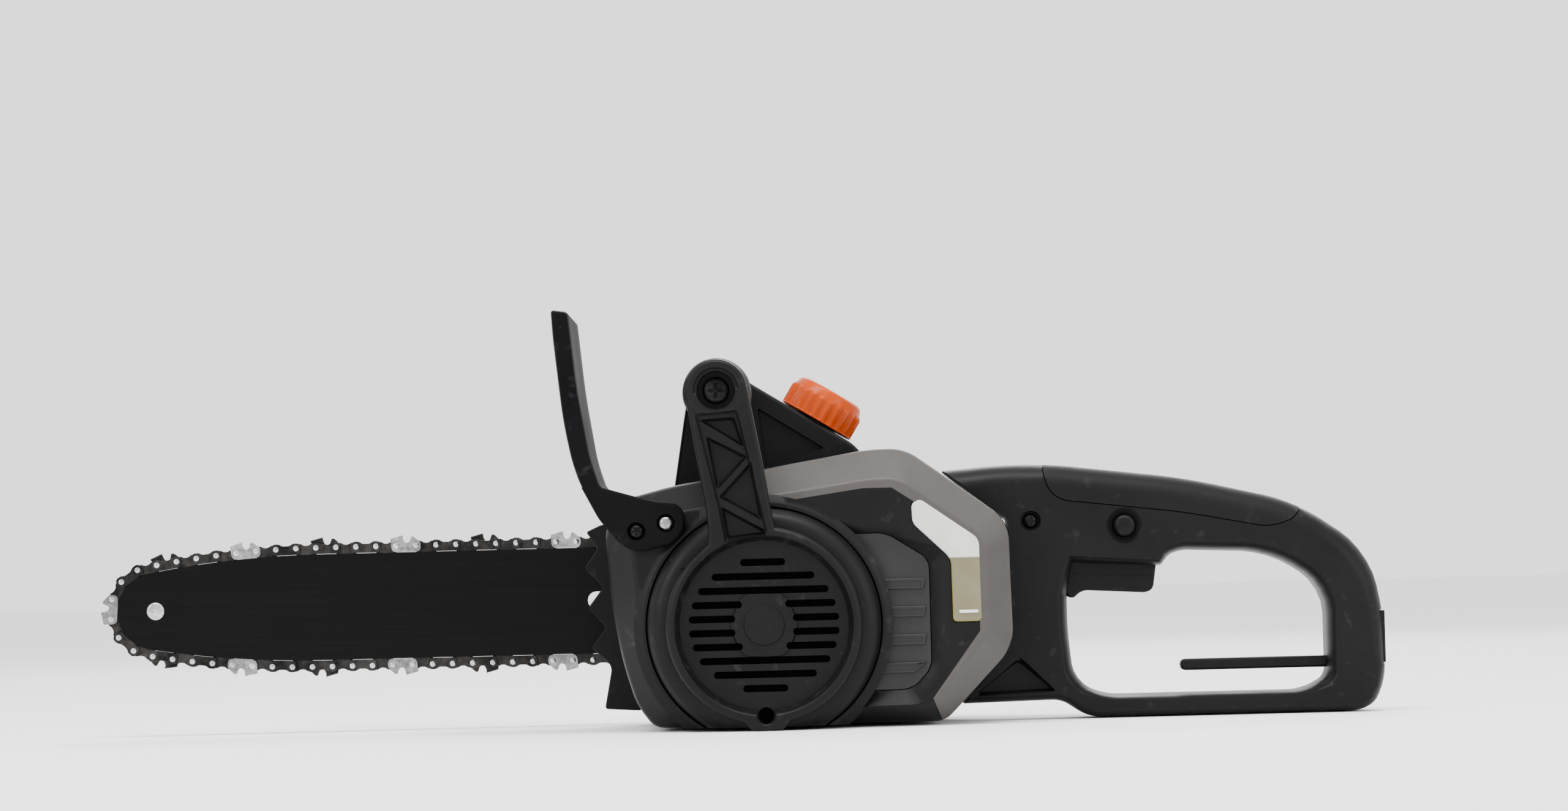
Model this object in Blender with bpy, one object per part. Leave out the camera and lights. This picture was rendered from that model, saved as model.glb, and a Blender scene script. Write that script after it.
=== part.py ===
"""Mains-electric chainsaw with a 10 inch bar, built as separate pieces.

Frame: +X runs from the bar's nose to the rear handle, +Y to the saw's right side, +Z up.
Z = 0 is the ground under the saw. All sizes are millimetres: every piece hangs from one
empty, whose scale turns them into metres.
"""

import math

import bmesh
import bpy
from mathutils import Matrix, Vector

MM = 0.001
GAP = 0.3  # clearance between pieces that touch
RUNNING = 0.6  # clearance round what turns

# Driving dimensions ------------------------------------------------------------------------
MOTOR_X, MOTOR_Z = 15.0, 47.0
BAR_Y, BAR_Z = 50.0, 59.5
BAR_THICKNESS = 3.2
BAR_HALF_HEIGHT = 25.2
BAR_TAIL_X = 14.0
NOSE_X, NOSE_RADIUS = -275.4, 18.3
NOSE_TAPER = math.radians(10)

CHAIN_PITCH = 9.525  # mean spacing of the rivets: a 3/8 inch chain spans two of them twice
CHAIN_LINE = 3.1  # the rivets' height over the bar's edge
STRAP_HALF = 2.8
CUTTER_RISE = 8.1
CHAIN_WIDTH = 4.0

GEAR_MODULE = 1.25
PINION_TEETH, GEAR_TEETH = 9, 39
GEAR_WIDTH = 9.0
GEAR_Y = 24.0
SPROCKET_RADIUS = 18.2  # to the rivets that lie round the drive sprocket

WALL = 4.0
SIDE_Y = -50.0  # where the left shell's straight wall ends and its sloping shoulder starts
PLATEAU_Y = -66.0
RIGHT_Y = 38.0
COVER_Y = 68.0
STRUT_FRONT_Y, STRUT_BACK_Y = -84.0, -76.0

DRUM_RADIUS = 53.0
RING_RADIUS, RING_HOLE_RADIUS = 44.3, 38.0
GRILLE_RADIUS = 35.0
BASE_Z = 1.2

GRIP_X, GRIP_Z, GRIP_RADIUS = -4.1, 153.0, 14.1
TOWER_Y = 2.0
CAP_X, CAP_Y, CAP_Z, CAP_RADIUS, CAP_HEIGHT = 40.8, 20.0, 141.0, 18.4, 16.0
CAP_LEAN = math.radians(31.5)

HANDLE_HALF = 18.0
HANDLE_END_X = 301.74
HANDLE_TOP_Z = 117.2
GRIP_SKIN = 2.0
TRIGGER_X, TRIGGER_Z = 161.0, 79.0
TRIGGER_HALF = 5.5
BUTTON_X, BUTTON_Z, BUTTON_RADIUS = 182.1, 88.2, 5.1
INLET_Z = 34.0

SPINDLE_Z = BAR_Z
GEAR_CENTRES = GEAR_MODULE * (PINION_TEETH + GEAR_TEETH) / 2 + 0.05
SPINDLE_X = MOTOR_X + math.sqrt(GEAR_CENTRES**2 - (SPINDLE_Z - MOTOR_Z) ** 2)
STUD_X = -20.0


# Modelling helpers -------------------------------------------------------------------------
def clear_scene():
    for obj in list(bpy.data.objects):
        bpy.data.objects.remove(obj)


def rounded(corners, steps=3):
    """The outline of (x, z, reach) corners, each turned into a curve that starts reach before it."""
    outline = []
    for i, (x, z, reach) in enumerate(corners):
        here = Vector((x, z))
        if not reach:
            outline.append(here)
            continue
        back = (Vector(corners[i - 1][:2]) - here).normalized() * reach
        on = (Vector(corners[(i + 1) % len(corners)][:2]) - here).normalized() * reach
        for k in range(steps + 1):
            t = k / steps
            outline.append(here + back * (1 - t) ** 2 + on * t**2)
    return outline


def inset(outline, distance):
    """The outline moved inwards by distance."""
    points = [Vector(p[:2]) for p in outline]
    area = sum(a.x * b.y - b.x * a.y for a, b in zip(points, points[1:] + points[:1]))
    side = 1 if area > 0 else -1
    moved = []
    for i, here in enumerate(points):
        before = (here - points[i - 1]).normalized()
        after = (points[(i + 1) % len(points)] - here).normalized()
        normals = [Vector((-d.y, d.x)) * side for d in (before, after)]
        middle = (normals[0] + normals[1]).normalized()
        moved.append(here + middle * distance / max(middle.dot(normals[0]), 0.5))
    return moved


def circle(x, z, radius, steps=32):
    turn = 2 * math.pi / steps
    return [Vector((x + radius * math.cos(i * turn), z + radius * math.sin(i * turn))) for i in range(steps)]


def stadium(x0, x1, z, half, steps=6):
    """A slot's outline from x0 to x1, with round ends of radius half."""
    ends = ((x1 - half, -math.pi / 2), (x0 + half, math.pi / 2))
    return [
        Vector((x + half * math.cos(a + math.pi * i / steps), z + half * math.sin(a + math.pi * i / steps)))
        for x, a in ends
        for i in range(steps + 1)
    ]


def finished(name, bm, surface, matrix=None):
    """One object in the saw's frame, whose parent empty turns its millimetres into metres."""
    bmesh.ops.remove_doubles(bm, verts=bm.verts, dist=1e-4)
    if matrix:
        bmesh.ops.transform(bm, matrix=matrix, verts=bm.verts)
    bmesh.ops.recalc_face_normals(bm, faces=bm.faces)
    mesh = bpy.data.meshes.new(name)
    bm.to_mesh(mesh)
    bm.free()
    mesh.shade_smooth()
    mesh.set_sharp_from_angle(angle=math.radians(32))
    obj = bpy.data.objects.new(name, mesh)
    bpy.context.scene.collection.objects.link(obj)
    obj.parent = SAW
    if surface:
        mesh.materials.append(surface)
    return obj


def loft(name, sections, surface=None):
    """A closed body through (outline, y) sections, whose outlines have the same number of points."""
    bm = bmesh.new()
    rings = [[bm.verts.new((p[0], y, p[1])) for p in outline] for outline, y in sections]
    for low, high in zip(rings, rings[1:]):
        for i in range(len(low)):
            j = (i + 1) % len(low)
            bm.faces.new((low[i], low[j], high[j], high[i]))
    bm.faces.new(rings[0])
    bm.faces.new(rings[-1])
    return finished(name, bm, surface)


def prism(name, outline, y0, y1, surface=None):
    return loft(name, [(outline, y0), (outline, y1)], surface)


def prisms(name, outlines, y0, y1):
    """Several separate prisms in one cutter."""
    bm = bmesh.new()
    for outline in outlines:
        rings = [[bm.verts.new((p[0], y, p[1])) for p in outline] for y in (y0, y1)]
        for i in range(len(outline)):
            j = (i + 1) % len(outline)
            bm.faces.new((rings[0][i], rings[0][j], rings[1][j], rings[1][i]))
        bm.faces.new(rings[0])
        bm.faces.new(rings[1])
    return finished(name, bm, None)


def box(name, low, high, surface=None):
    outline = [(low[0], low[2]), (high[0], low[2]), (high[0], high[2]), (low[0], high[2])]
    return prism(name, outline, low[1], high[1], surface)


def along_y(x, z, y=0.0):
    """Takes a turned body's own axis to +Y through (x, z)."""
    return Matrix.Translation((x, y, z)) @ Matrix.Rotation(-math.pi / 2, 4, "X")


def turned(name, profile, matrix, surface=None, steps=24):
    """A profile of (radius, height) points spun round; it is a ring unless both ends lie on the axis."""
    bm = bmesh.new()
    verts = [bm.verts.new((r, 0, h)) for r, h in profile]
    closing = [] if profile[0][0] == profile[-1][0] == 0 else [(verts[-1], verts[0])]
    edges = [bm.edges.new(pair) for pair in list(zip(verts, verts[1:])) + closing]
    bmesh.ops.spin(
        bm, geom=verts + edges, axis=(0, 0, 1), cent=(0, 0, 0), angle=2 * math.pi, steps=steps, use_merge=True
    )
    return finished(name, bm, surface, matrix)


def rod(name, x, z, radius, y0, y1, surface=None, steps=12):
    return turned(name, [(0, y0), (radius, y0), (radius, y1), (0, y1)], along_y(x, z), surface, steps)


def tube(name, x, z, bore, radius, y0, y1, surface=None, steps=20):
    profile = [(bore, y0), (radius, y0), (radius, y1), (bore, y1)]
    return turned(name, profile, along_y(x, z), surface, steps)


def combine(body, operation, tools, solver):
    """Keeps each tool in the scene as a guide that a render leaves out."""
    for tool in tools:
        modifier = body.modifiers.new(tool.name, "BOOLEAN")
        modifier.operation = operation
        modifier.solver = solver
        modifier.object = tool
        tool.hide_render = True
        tool.display_type = "WIRE"
    return body


def cut(body, *tools, solver="EXACT"):
    return combine(body, "DIFFERENCE", tools, solver)


def join(body, *tools, solver="EXACT"):
    return combine(body, "UNION", tools, solver)


def pivot(name, x, y, z):
    """An empty on a joint's axis, for the pieces that the joint moves."""
    empty = bpy.data.objects.new(name, None)
    empty.location = (x, y, z)
    empty.empty_display_size = 10
    bpy.context.scene.collection.objects.link(empty)
    empty.parent = SAW
    return empty


def hang(empty, *pieces):
    for piece in pieces:
        piece.parent = empty
        piece.location = -empty.location


def surface(name, colour, roughness, metallic=0.0):
    made = bpy.data.materials.new(name)
    made.use_nodes = True
    shader = made.node_tree.nodes["Principled BSDF"]
    shader.inputs["Base Color"].default_value = (*colour, 1)
    shader.inputs["Roughness"].default_value = roughness
    shader.inputs["Metallic"].default_value = metallic
    made.diffuse_color = (*colour, 1)
    return made


clear_scene()
SAW = bpy.data.objects.new("saw_frame", None)
SAW.scale = (MM, MM, MM)
bpy.context.scene.collection.objects.link(SAW)

BLACK = surface("black_plastic", (0.028, 0.028, 0.030), 0.45)
GREY = surface("grey_trim", (0.16, 0.148, 0.14), 0.38)
RUBBER = surface("black_rubber", (0.02, 0.02, 0.021), 0.7)
ORANGE = surface("orange_plastic", (0.87, 0.16, 0.008), 0.3)
CLEAR = surface("oil_window", (0.55, 0.52, 0.38), 0.2)
STEEL = surface("steel", (0.42, 0.42, 0.43), 0.3, 1.0)
DARK_STEEL = surface("dark_steel", (0.06, 0.06, 0.062), 0.35, 1.0)
BAR_PAINT = surface("bar_paint", (0.012, 0.011, 0.012), 0.25)
COPPER = surface("copper", (0.72, 0.3, 0.13), 0.35, 1.0)
BRASS = surface("brass", (0.75, 0.55, 0.22), 0.3, 1.0)
ALUMINIUM = surface("aluminium", (0.6, 0.6, 0.61), 0.4, 1.0)


# Body shells ---------------------------------------------------------------------------------
# Corners of the body's outline and of the raised plateau on its left side, one for one.
BODY = rounded([
    (-36, BASE_Z, 4), (-44, 12, 5), (-50, 32, 8), (-54.5, 58, 8), (-56.5, 92, 4), (-47.5, 105.5, 5),
    (-26, 111, 5), (64.3, 125.6, 6), (80.6, 125.6, 6), (127.3, 91.7, 8), (128.2, 34, 8), (96.3, BASE_Z, 4),
])
PLATEAU = rounded([
    (-24, 8, 3), (-31, 15, 4), (-38, 35, 7), (-42, 57, 7), (-44, 88, 3), (-38, 96, 3),
    (-18.4, 99.2, 4), (64.1, 111, 5), (77.4, 111, 5), (115.8, 84, 7), (115.8, 40.8, 7), (88.8, 9, 4),
])
TRIM_CORNERS = slice(6 * 4, 12 * 4)  # the trim runs from the sixth corner to the last one
TRIM_THICKNESS = 2.0
CAVITY_Y = -57.0

left_housing = loft("left_housing", [(BODY, -GAP / 2), (BODY, SIDE_Y), (PLATEAU, PLATEAU_Y)], BLACK)
left_cavity = loft("left_cavity", [
    (inset(BODY, WALL), 1), (inset(BODY, WALL), SIDE_Y + WALL), (inset(PLATEAU, WALL), CAVITY_Y),
])
drum_hole = rod("drum_hole", MOTOR_X, MOTOR_Z, DRUM_RADIUS + GAP, PLATEAU_Y - 20, SIDE_Y + 2, steps=64)


def trim_band(name, outwards, inwards, end_gap, material=None):
    """The sloping band over the top and rear edge, grown outwards, inwards and past both its ends."""
    outer, inner = BODY[TRIM_CORNERS], PLATEAU[TRIM_CORNERS]
    bm = bmesh.new()
    rings = []
    for k, (a, b) in enumerate(zip(outer, inner)):
        slope = (b - a).normalized()
        along = Vector((0, 0))
        if k in (0, len(outer) - 1):
            near = outer[1] if k == 0 else outer[-2]
            along = (a - near).normalized() * end_gap
        section = (
            (a - slope * outwards + along, SIDE_Y + (outwards and GAP) - GAP),
            (b + slope * min(outwards, GAP) + along, PLATEAU_Y - outwards),
            (b + slope * min(outwards, GAP) + along, PLATEAU_Y + inwards),
            (a + slope * inwards + along, SIDE_Y + (outwards and GAP) - GAP),
        )
        rings.append([bm.verts.new((p.x, y, p.y)) for p, y in section])
    for low, high in zip(rings, rings[1:]):
        for i in range(4):
            j = (i + 1) % 4
            bm.faces.new((low[i], low[j], high[j], high[i]))
    bm.faces.new(rings[0])
    bm.faces.new(rings[-1])
    return finished(name, bm, material)


side_trim = trim_band("side_trim", 0, TRIM_THICKNESS, 0, GREY)
trim_pocket = trim_band("trim_pocket", 2, TRIM_THICKNESS + GAP, GAP)

PANEL_FLOOR_Y = -61.0
PANEL_THICKNESS = 2.2
RECESS = rounded([
    (40, 92.6, 0), (62.2, 95.2, 2), (72.7, 95.2, 4), (98.3, 78.8, 4), (98.3, 22.8, 4), (85, 8.6, 4),
    (40, 7.6, 0),
])
PANEL = rounded([
    (40, 86.6, 0), (58, 87.4, 2), (70.9, 87.6, 4), (90.5, 75, 4), (90.5, 25.6, 4), (81.3, 16.1, 4),
    (40, 15.4, 0),
])
recess = loft("panel_recess", [
    (RECESS, PLATEAU_Y - 0.2), (PANEL, PANEL_FLOOR_Y), (PANEL, PANEL_FLOOR_Y + PANEL_THICKNESS + GAP),
])

WINDOW = rounded([
    (82.6, 100.2, 2), (86.6, 102.6, 2), (113.2, 83.8, 3), (113.6, 46.2, 2), (100.2, 46.2, 2), (99.9, 75, 3),
    (83, 91.2, 2),
])
WINDOW_THICKNESS = 3.0
oil_window = prism("oil_window", WINDOW, PLATEAU_Y, PLATEAU_Y + WINDOW_THICKNESS, CLEAR)
window_pocket = prism(
    "window_pocket", inset(WINDOW, -GAP), PLATEAU_Y - 1, PLATEAU_Y + WINDOW_THICKNESS + GAP
)

side_panel = prism("side_panel", inset(PANEL, GAP), PANEL_FLOOR_Y, PANEL_FLOOR_Y + PANEL_THICKNESS, BLACK)
PANEL_RIBS, RIB_PITCH, RIB_TOP_Z, RIB_HEIGHT, RIB_RISE, RIB_END_X = 5, 12.65, 79.2, 5.0, 1.2, 88.4
ribs = []
for i in range(PANEL_RIBS):
    top = RIB_TOP_Z - RIB_PITCH * i
    reach = [math.sqrt((DRUM_RADIUS + 2) ** 2 - (z - MOTOR_Z) ** 2) for z in (top, top - RIB_HEIGHT)]
    cropped = RIB_END_X - (6 if i in (0, PANEL_RIBS - 1) else 0)
    ends = (cropped, RIB_END_X) if i == 0 else (RIB_END_X, cropped)
    ribs.append([
        (MOTOR_X + reach[0], top), (ends[0], top), (ends[1], top - RIB_HEIGHT),
        (MOTOR_X + reach[1], top - RIB_HEIGHT),
    ])
for i, rib in enumerate(ribs):
    join(side_panel, prism(f"panel_rib_{i}", rib, PANEL_FLOOR_Y - RIB_RISE, PANEL_FLOOR_Y + 1))
cut(side_panel, rod("panel_drum_edge", MOTOR_X, MOTOR_Z, DRUM_RADIUS + 2 * GAP, -70, -50, steps=64))

GUARD_SCREWS = ((-41.6, 90.6), (-28.3, 94.0))
GUARD_SCREW_SHANK = 1.7
guard_screw_holes = [
    rod(f"guard_screw_hole_{i}", x, z, GUARD_SCREW_SHANK + GAP, -80, -40, steps=12)
    for i, (x, z) in enumerate(GUARD_SCREWS)
]
cut(
    left_housing, left_cavity, drum_hole, trim_pocket, recess, window_pocket, *guard_screw_holes,
    solver="MANIFOLD",
)

right_housing = loft(
    "right_housing", [(BODY, GAP / 2), (BODY, RIGHT_Y - 2), (inset(BODY, 2), RIGHT_Y)], BLACK
)
right_cavity = loft("right_cavity", [(inset(BODY, WALL), -1), (inset(BODY, WALL), RIGHT_Y - WALL)])
TOWER = rounded([
    (-27, 104, 0), (-20, 147, 4), (-17.5, 160, 8), (-4.1, 170.5, 9), (9.8, 159.8, 4), (59.5, 128.8, 4),
    (66, 118, 0),
])
tower = prism("tower", TOWER, TOWER_Y, RIGHT_Y)
TOWER_ROOM = [(-18.5, 100), (-13, 135), (4, 140), (50, 122), (56, 112), (56, 100)]
tower_cavity = prism("tower_cavity", TOWER_ROOM, TOWER_Y + WALL, RIGHT_Y - WALL)
TOWER_RECESS = [(14.5, 146.5), (43.5, 128.2), (17.5, 120)]
tower_recess = prism("tower_recess", TOWER_RECESS, TOWER_Y - 1, TOWER_Y + 2)
PAD_Y = BAR_Y - BAR_THICKNESS / 2 - GAP
bar_pad = box("bar_pad", (-49, RIGHT_Y - 2, BAR_Z - 14), (0, PAD_Y, BAR_Z + 14))
STUD_RADIUS = 3.9
BEARING_RADIUS = 10.0
SHAFT_RADIUS = 4.0
SPINDLE_RADIUS = 5.0

cap_axis = Matrix.Translation((CAP_X, CAP_Y, CAP_Z)) @ Matrix.Rotation(CAP_LEAN, 4, "Y")
NECK_RADIUS, NECK_BORE, NECK_DEPTH = 13.0, 11.0, 25.0
neck_hole = turned("neck_hole", [
    (0, -NECK_DEPTH - 2), (NECK_RADIUS + GAP, -NECK_DEPTH - 2), (NECK_RADIUS + GAP, 6), (0, 6),
], cap_axis)
BOLT_RADIUS = 3.0
join(right_housing, tower, bar_pad)
cut(
    right_housing, right_cavity, tower_cavity, tower_recess, neck_hole,
    rod("stud_hole", STUD_X, BAR_Z, STUD_RADIUS + GAP, RIGHT_Y - 10, PAD_Y + 2, steps=24),
    rod("spindle_hole", SPINDLE_X, SPINDLE_Z, BEARING_RADIUS + GAP, RIGHT_Y - 10, RIGHT_Y + 2, steps=24),
    rod("grip_bolt_hole", GRIP_X, GRIP_Z, BOLT_RADIUS + GAP, TOWER_Y - 2, TOWER_Y + 26, steps=16),
)

# Motor cover: a drum with a slotted grille -------------------------------------------------
GRILLE_Y, GRILLE_THICKNESS, DRUM_TOP_Y = -75.2, 3.0, -75.7
motor_cover = turned("motor_cover", [
    (0, -77.6), (9.2, -77.6), (9.2, -76.7), (14.5, -76.7), (16, GRILLE_Y), (GRILLE_RADIUS, GRILLE_Y),
    (GRILLE_RADIUS + 1, DRUM_TOP_Y), (46, DRUM_TOP_Y), (50.5, -73.5), (DRUM_RADIUS, -68),
    (DRUM_RADIUS, -48.6), (DRUM_RADIUS - 3, -48.6), (DRUM_RADIUS - 3, -67.5), (48, -71),
    (44, GRILLE_Y + GRILLE_THICKNESS),
    (0, GRILLE_Y + GRILLE_THICKNESS),
], along_y(MOTOR_X, MOTOR_Z), BLACK, 40)
SLOT_HALF, SLOT_PITCH = 1.55, 6.3
# Each row of slots: half its width, and half of the gap that it leaves for the hub.
SLOT_ROWS = ((33.8, 13.0), (32.3, 9.8), (29.3, 0), (23.1, 0), (10.1, 0))
slots = []
for row, (half, gap) in enumerate(SLOT_ROWS):
    for z in (MOTOR_Z + SLOT_PITCH * (row + 0.5), MOTOR_Z - SLOT_PITCH * (row + 0.5)):
        spans = [(-half, -gap), (gap, half)] if gap else [(-half, half)]
        slots += [stadium(MOTOR_X + a, MOTOR_X + b, z, SLOT_HALF, 4) for a, b in spans]
drum_base_cut = box("drum_base_cut", (-80, -90, -60), (110, -40, BASE_Z))
cut(motor_cover, drum_base_cut, prisms("grille_slots", slots, GRILLE_Y - 4, GRILLE_Y + GRILLE_THICKNESS + 1))
drum_floor = rod("drum_floor", MOTOR_X, MOTOR_Z, DRUM_RADIUS - 1, -66.5, -48.8, steps=40)
cut(drum_floor, drum_base_cut, box("drum_floor_top", (-80, -90, BASE_Z + 3), (110, -40, 200)))
join(motor_cover, drum_floor)

# Front handle: a truss strut on the left, a round grip across to the tower ------------------
STRUT = rounded([
    (-18.1, 152, 0), (-8.6, 92, 4), (-9.5, 84, 3), (-22, 73, 0), (38, 76, 0), (24, 84, 3), (20.2, 93, 4),
    (16.8, 117.3, 5), (9.9, 155, 0),
])
STEP = 0.4  # the boss, ring, lug and rails stand this much behind one another
front_handle_strut = prism("front_handle_strut", STRUT, STRUT_FRONT_Y + 2 * STEP, STRUT_BACK_Y - STEP, BLACK)
LUG = [(4.6, 4.4), (8.4, 0), (22.5, 0), (25.8, 4.4), (28, 9), (2, 9)]
LUG_HOLE_Z, LUG_HOLE_RADIUS = 6.6, 4.0
GRIP_END_Y = -71.7
join(
    front_handle_strut,
    rod("strut_ring", MOTOR_X, MOTOR_Z, RING_RADIUS, STRUT_FRONT_Y + STEP, STRUT_BACK_Y, steps=48),
    rod("strut_boss", GRIP_X, GRIP_Z, GRIP_RADIUS, STRUT_FRONT_Y, GRIP_END_Y - GAP, steps=32),
    prism("strut_lug", LUG, STRUT_FRONT_Y + 3 * STEP, STRUT_BACK_Y - 2 * STEP),
    solver="MANIFOLD",
)
BOSS_BORE, BOSS_DEPTH = 8.4, 9.0
POCKET_DEPTH = 5.5
POCKETS = [
    [(-10.3, 137.6), (4.2, 138.6), (5.6, 132.4)],
    [(-8.1, 130.9), (8.8, 122.4), (-4.3, 109.7)],
    [(9.8, 115.9), (14.5, 95.6), (-2.4, 104.1)],
    [(-2, 96.6), (15.9, 87.6), (15.9, 85.6), (-1, 85.6)],
]
cut(
    front_handle_strut,
    rod("ring_mouth", MOTOR_X, MOTOR_Z, RING_HOLE_RADIUS, STRUT_FRONT_Y - 1, STRUT_BACK_Y + 1, steps=48),
    prisms("strut_pockets", POCKETS, STRUT_FRONT_Y - 1, STRUT_FRONT_Y + POCKET_DEPTH),
    rod("boss_bore", GRIP_X, GRIP_Z, BOSS_BORE, STRUT_FRONT_Y - 1, STRUT_FRONT_Y + BOSS_DEPTH, steps=24),
    rod("boss_bolt_hole", GRIP_X, GRIP_Z, BOLT_RADIUS + GAP, STRUT_FRONT_Y + 4, GRIP_END_Y + 1),
    rod("lug_hole", MOTOR_X, LUG_HOLE_Z, LUG_HOLE_RADIUS, STRUT_FRONT_Y - 1, STRUT_FRONT_Y + 5, steps=16),
    solver="MANIFOLD",
)
front_handle_grip = turned("front_handle_grip", [
    (BOLT_RADIUS + GAP, GRIP_END_Y), (13.2, GRIP_END_Y), (15.2, GRIP_END_Y + 6), (15.8, -35),
    (15.2, TOWER_Y - 7), (13.2, TOWER_Y - GAP), (BOLT_RADIUS + GAP, TOWER_Y - GAP),
], along_y(GRIP_X, GRIP_Z), RUBBER)
BOLT_HEAD_Y = STRUT_FRONT_Y + BOSS_DEPTH - GAP
front_handle_bolt = turned("front_handle_bolt", [
    (0, BOLT_HEAD_Y - 4), (6, BOLT_HEAD_Y - 4), (6, BOLT_HEAD_Y), (BOLT_RADIUS, BOLT_HEAD_Y),
    (BOLT_RADIUS, TOWER_Y + 22), (0, TOWER_Y + 22),
], along_y(GRIP_X, GRIP_Z), STEEL, 16)

# Hand guard and its two screws -----------------------------------------------------------------
GUARD_LEFT_Y, GUARD_RIGHT_Y = -72.0, 27.0
GUARD = rounded([
    (-78, 191.9, 1.5), (-77.4, 179.5, 5), (-73.6, 141.5, 8), (-69.6, 121, 6), (-65.5, 110.2, 4),
    (-58.8, 98.8, 1), (-56.6, 96.4, 0), (-49.6, 107.2, 1), (-57.8, 111.3, 3), (-62, 124.5, 5),
    (-66.9, 155.8, 8), (-70.2, 190.5, 1.5),
], 2)
hand_guard = prism("hand_guard", GUARD, GUARD_LEFT_Y, GUARD_RIGHT_Y, BLACK)
FLANGE = rounded([
    (-66, 111, 0), (-58.5, 96.6, 2), (-47.8, 83.3, 5), (-40, 81.2, 4), (-24, 84.8, 4), (-18.9, 93, 4),
    (-21, 102.6, 5), (-34.5, 104.2, 4), (-57.4, 111, 0),
])
guard_flange = prism("guard_flange", FLANGE, GUARD_LEFT_Y, PLATEAU_Y - GAP)
SCREW_HEAD_RADIUS, SCREW_HEAD_HEIGHT, SCREW_RECESS = 3.3, 2.4, 3.0
join(hand_guard, guard_flange, solver="MANIFOLD")
guard_screws = []
for name, (x, z) in zip(("guard_screw_front", "guard_screw_rear"), GUARD_SCREWS):
    seat = GUARD_LEFT_Y + SCREW_RECESS
    cut(
        hand_guard,
        rod(f"{name}_recess", x, z, SCREW_HEAD_RADIUS + 2 * GAP, GUARD_LEFT_Y - 1, seat, steps=16),
        rod(f"{name}_hole", x, z, GUARD_SCREW_SHANK + GAP, GUARD_LEFT_Y, PLATEAU_Y, steps=12),
        solver="MANIFOLD",
    )
    guard_screws.append(turned(name, [
        (0, seat - GAP - SCREW_HEAD_HEIGHT), (SCREW_HEAD_RADIUS, seat - GAP - SCREW_HEAD_HEIGHT + 0.6),
        (SCREW_HEAD_RADIUS, seat - GAP), (GUARD_SCREW_SHANK, seat - GAP), (GUARD_SCREW_SHANK, PLATEAU_Y + 12),
        (0, PLATEAU_Y + 12),
    ], along_y(x, z), STEEL, 16))

SPIKES = [
    (-50.6, 95.6), (-61.3, 95.5), (-69.2, 91.9), (-63.5, 84.4), (-70.4, 74.8), (-61.7, 65.5), (-69.2, 55.7),
    (-60.8, 46.8), (-67.9, 37.2), (-58.2, 28.4), (-62.1, 8.0), (-44.7, 6.8), (-42, 14), (-50.6, 30),
]
SPIKE_THICKNESS = 5.0
bumper_spikes = prism("bumper_spikes", SPIKES, RIGHT_Y + GAP, RIGHT_Y + GAP + SPIKE_THICKNESS, BLACK)

# Guide bar, nose wheel and chain -----------------------------------------------------------
def bar_path(offset, step=4.0):
    """Points round the chain's path, offset outwards from the bar's edge, from the top rear."""
    taper_run = 2 * (BAR_HALF_HEIGHT - NOSE_RADIUS * math.cos(NOSE_TAPER)) / math.tan(NOSE_TAPER)
    touch_x = NOSE_X - NOSE_RADIUS * math.sin(NOSE_TAPER)
    taper_x = touch_x + taper_run
    rear_x = BAR_TAIL_X - 12
    top = []
    for i in range(int((rear_x - taper_x) / (2 * step)) + 1):
        x = rear_x - i * (rear_x - taper_x) / int((rear_x - taper_x) / (2 * step))
        top.append((x, BAR_HALF_HEIGHT, 0.0))
    flank = max(int(taper_run / step), 4)
    for i in range(1, flank + 1):
        run = taper_run * i / flank
        slope = math.tan(NOSE_TAPER) * run / taper_run
        top.append((taper_x - run, BAR_HALF_HEIGHT - slope * run / 2, slope))
    upper = []
    for x, height, slope in top:
        lean = math.atan(slope)
        upper.append(Vector((x - offset * math.sin(lean), height + offset * math.cos(lean))))
    reach = NOSE_RADIUS + offset
    turns = max(int(math.pi * reach / (step / 1.5)), 12)
    sweep = math.pi - 2 * NOSE_TAPER
    nose = [
        Vector((NOSE_X - reach * math.sin(NOSE_TAPER + sweep * i / turns),
                reach * math.cos(NOSE_TAPER + sweep * i / turns)))
        for i in range(1, turns)
    ]
    lower = [Vector((p.x, -p.y)) for p in reversed(upper)]
    return [Vector((p.x, p.y + BAR_Z)) for p in upper + nose + lower]


def chain_path(offset, step=4.0):
    """The bar's path closed round the drive sprocket."""
    along_bar = bar_path(offset, step)
    radius = SPROCKET_RADIUS - CHAIN_LINE + offset
    run, rise = SPINDLE_X - along_bar[0].x, along_bar[0].y - SPINDLE_Z
    start = math.atan2(rise, -run) - math.acos(radius / math.hypot(run, rise))
    turns = max(int(2 * start * radius / (step / 1.5)), 12)
    wrap = [
        Vector((SPINDLE_X + radius * math.cos(-start + 2 * start * i / turns),
                SPINDLE_Z + radius * math.sin(-start + 2 * start * i / turns)))
        for i in range(turns + 1)
    ]
    return along_bar + wrap


def spaced(path, count, shift=0.0):
    """Points with their outward directions, count of them equally spaced along a closed path."""
    closed = path + path[:1]
    lengths = [(b - a).length for a, b in zip(closed, closed[1:])]
    total = sum(lengths)
    out = []
    for i in range(count):
        target = (i + shift) / count * total % total
        k = 0
        while target > lengths[k]:
            target -= lengths[k]
            k += 1
        heading = (closed[k + 1] - closed[k]).normalized()
        out.append((closed[k] + heading * target, Vector((heading.y, -heading.x))))
    return out


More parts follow.
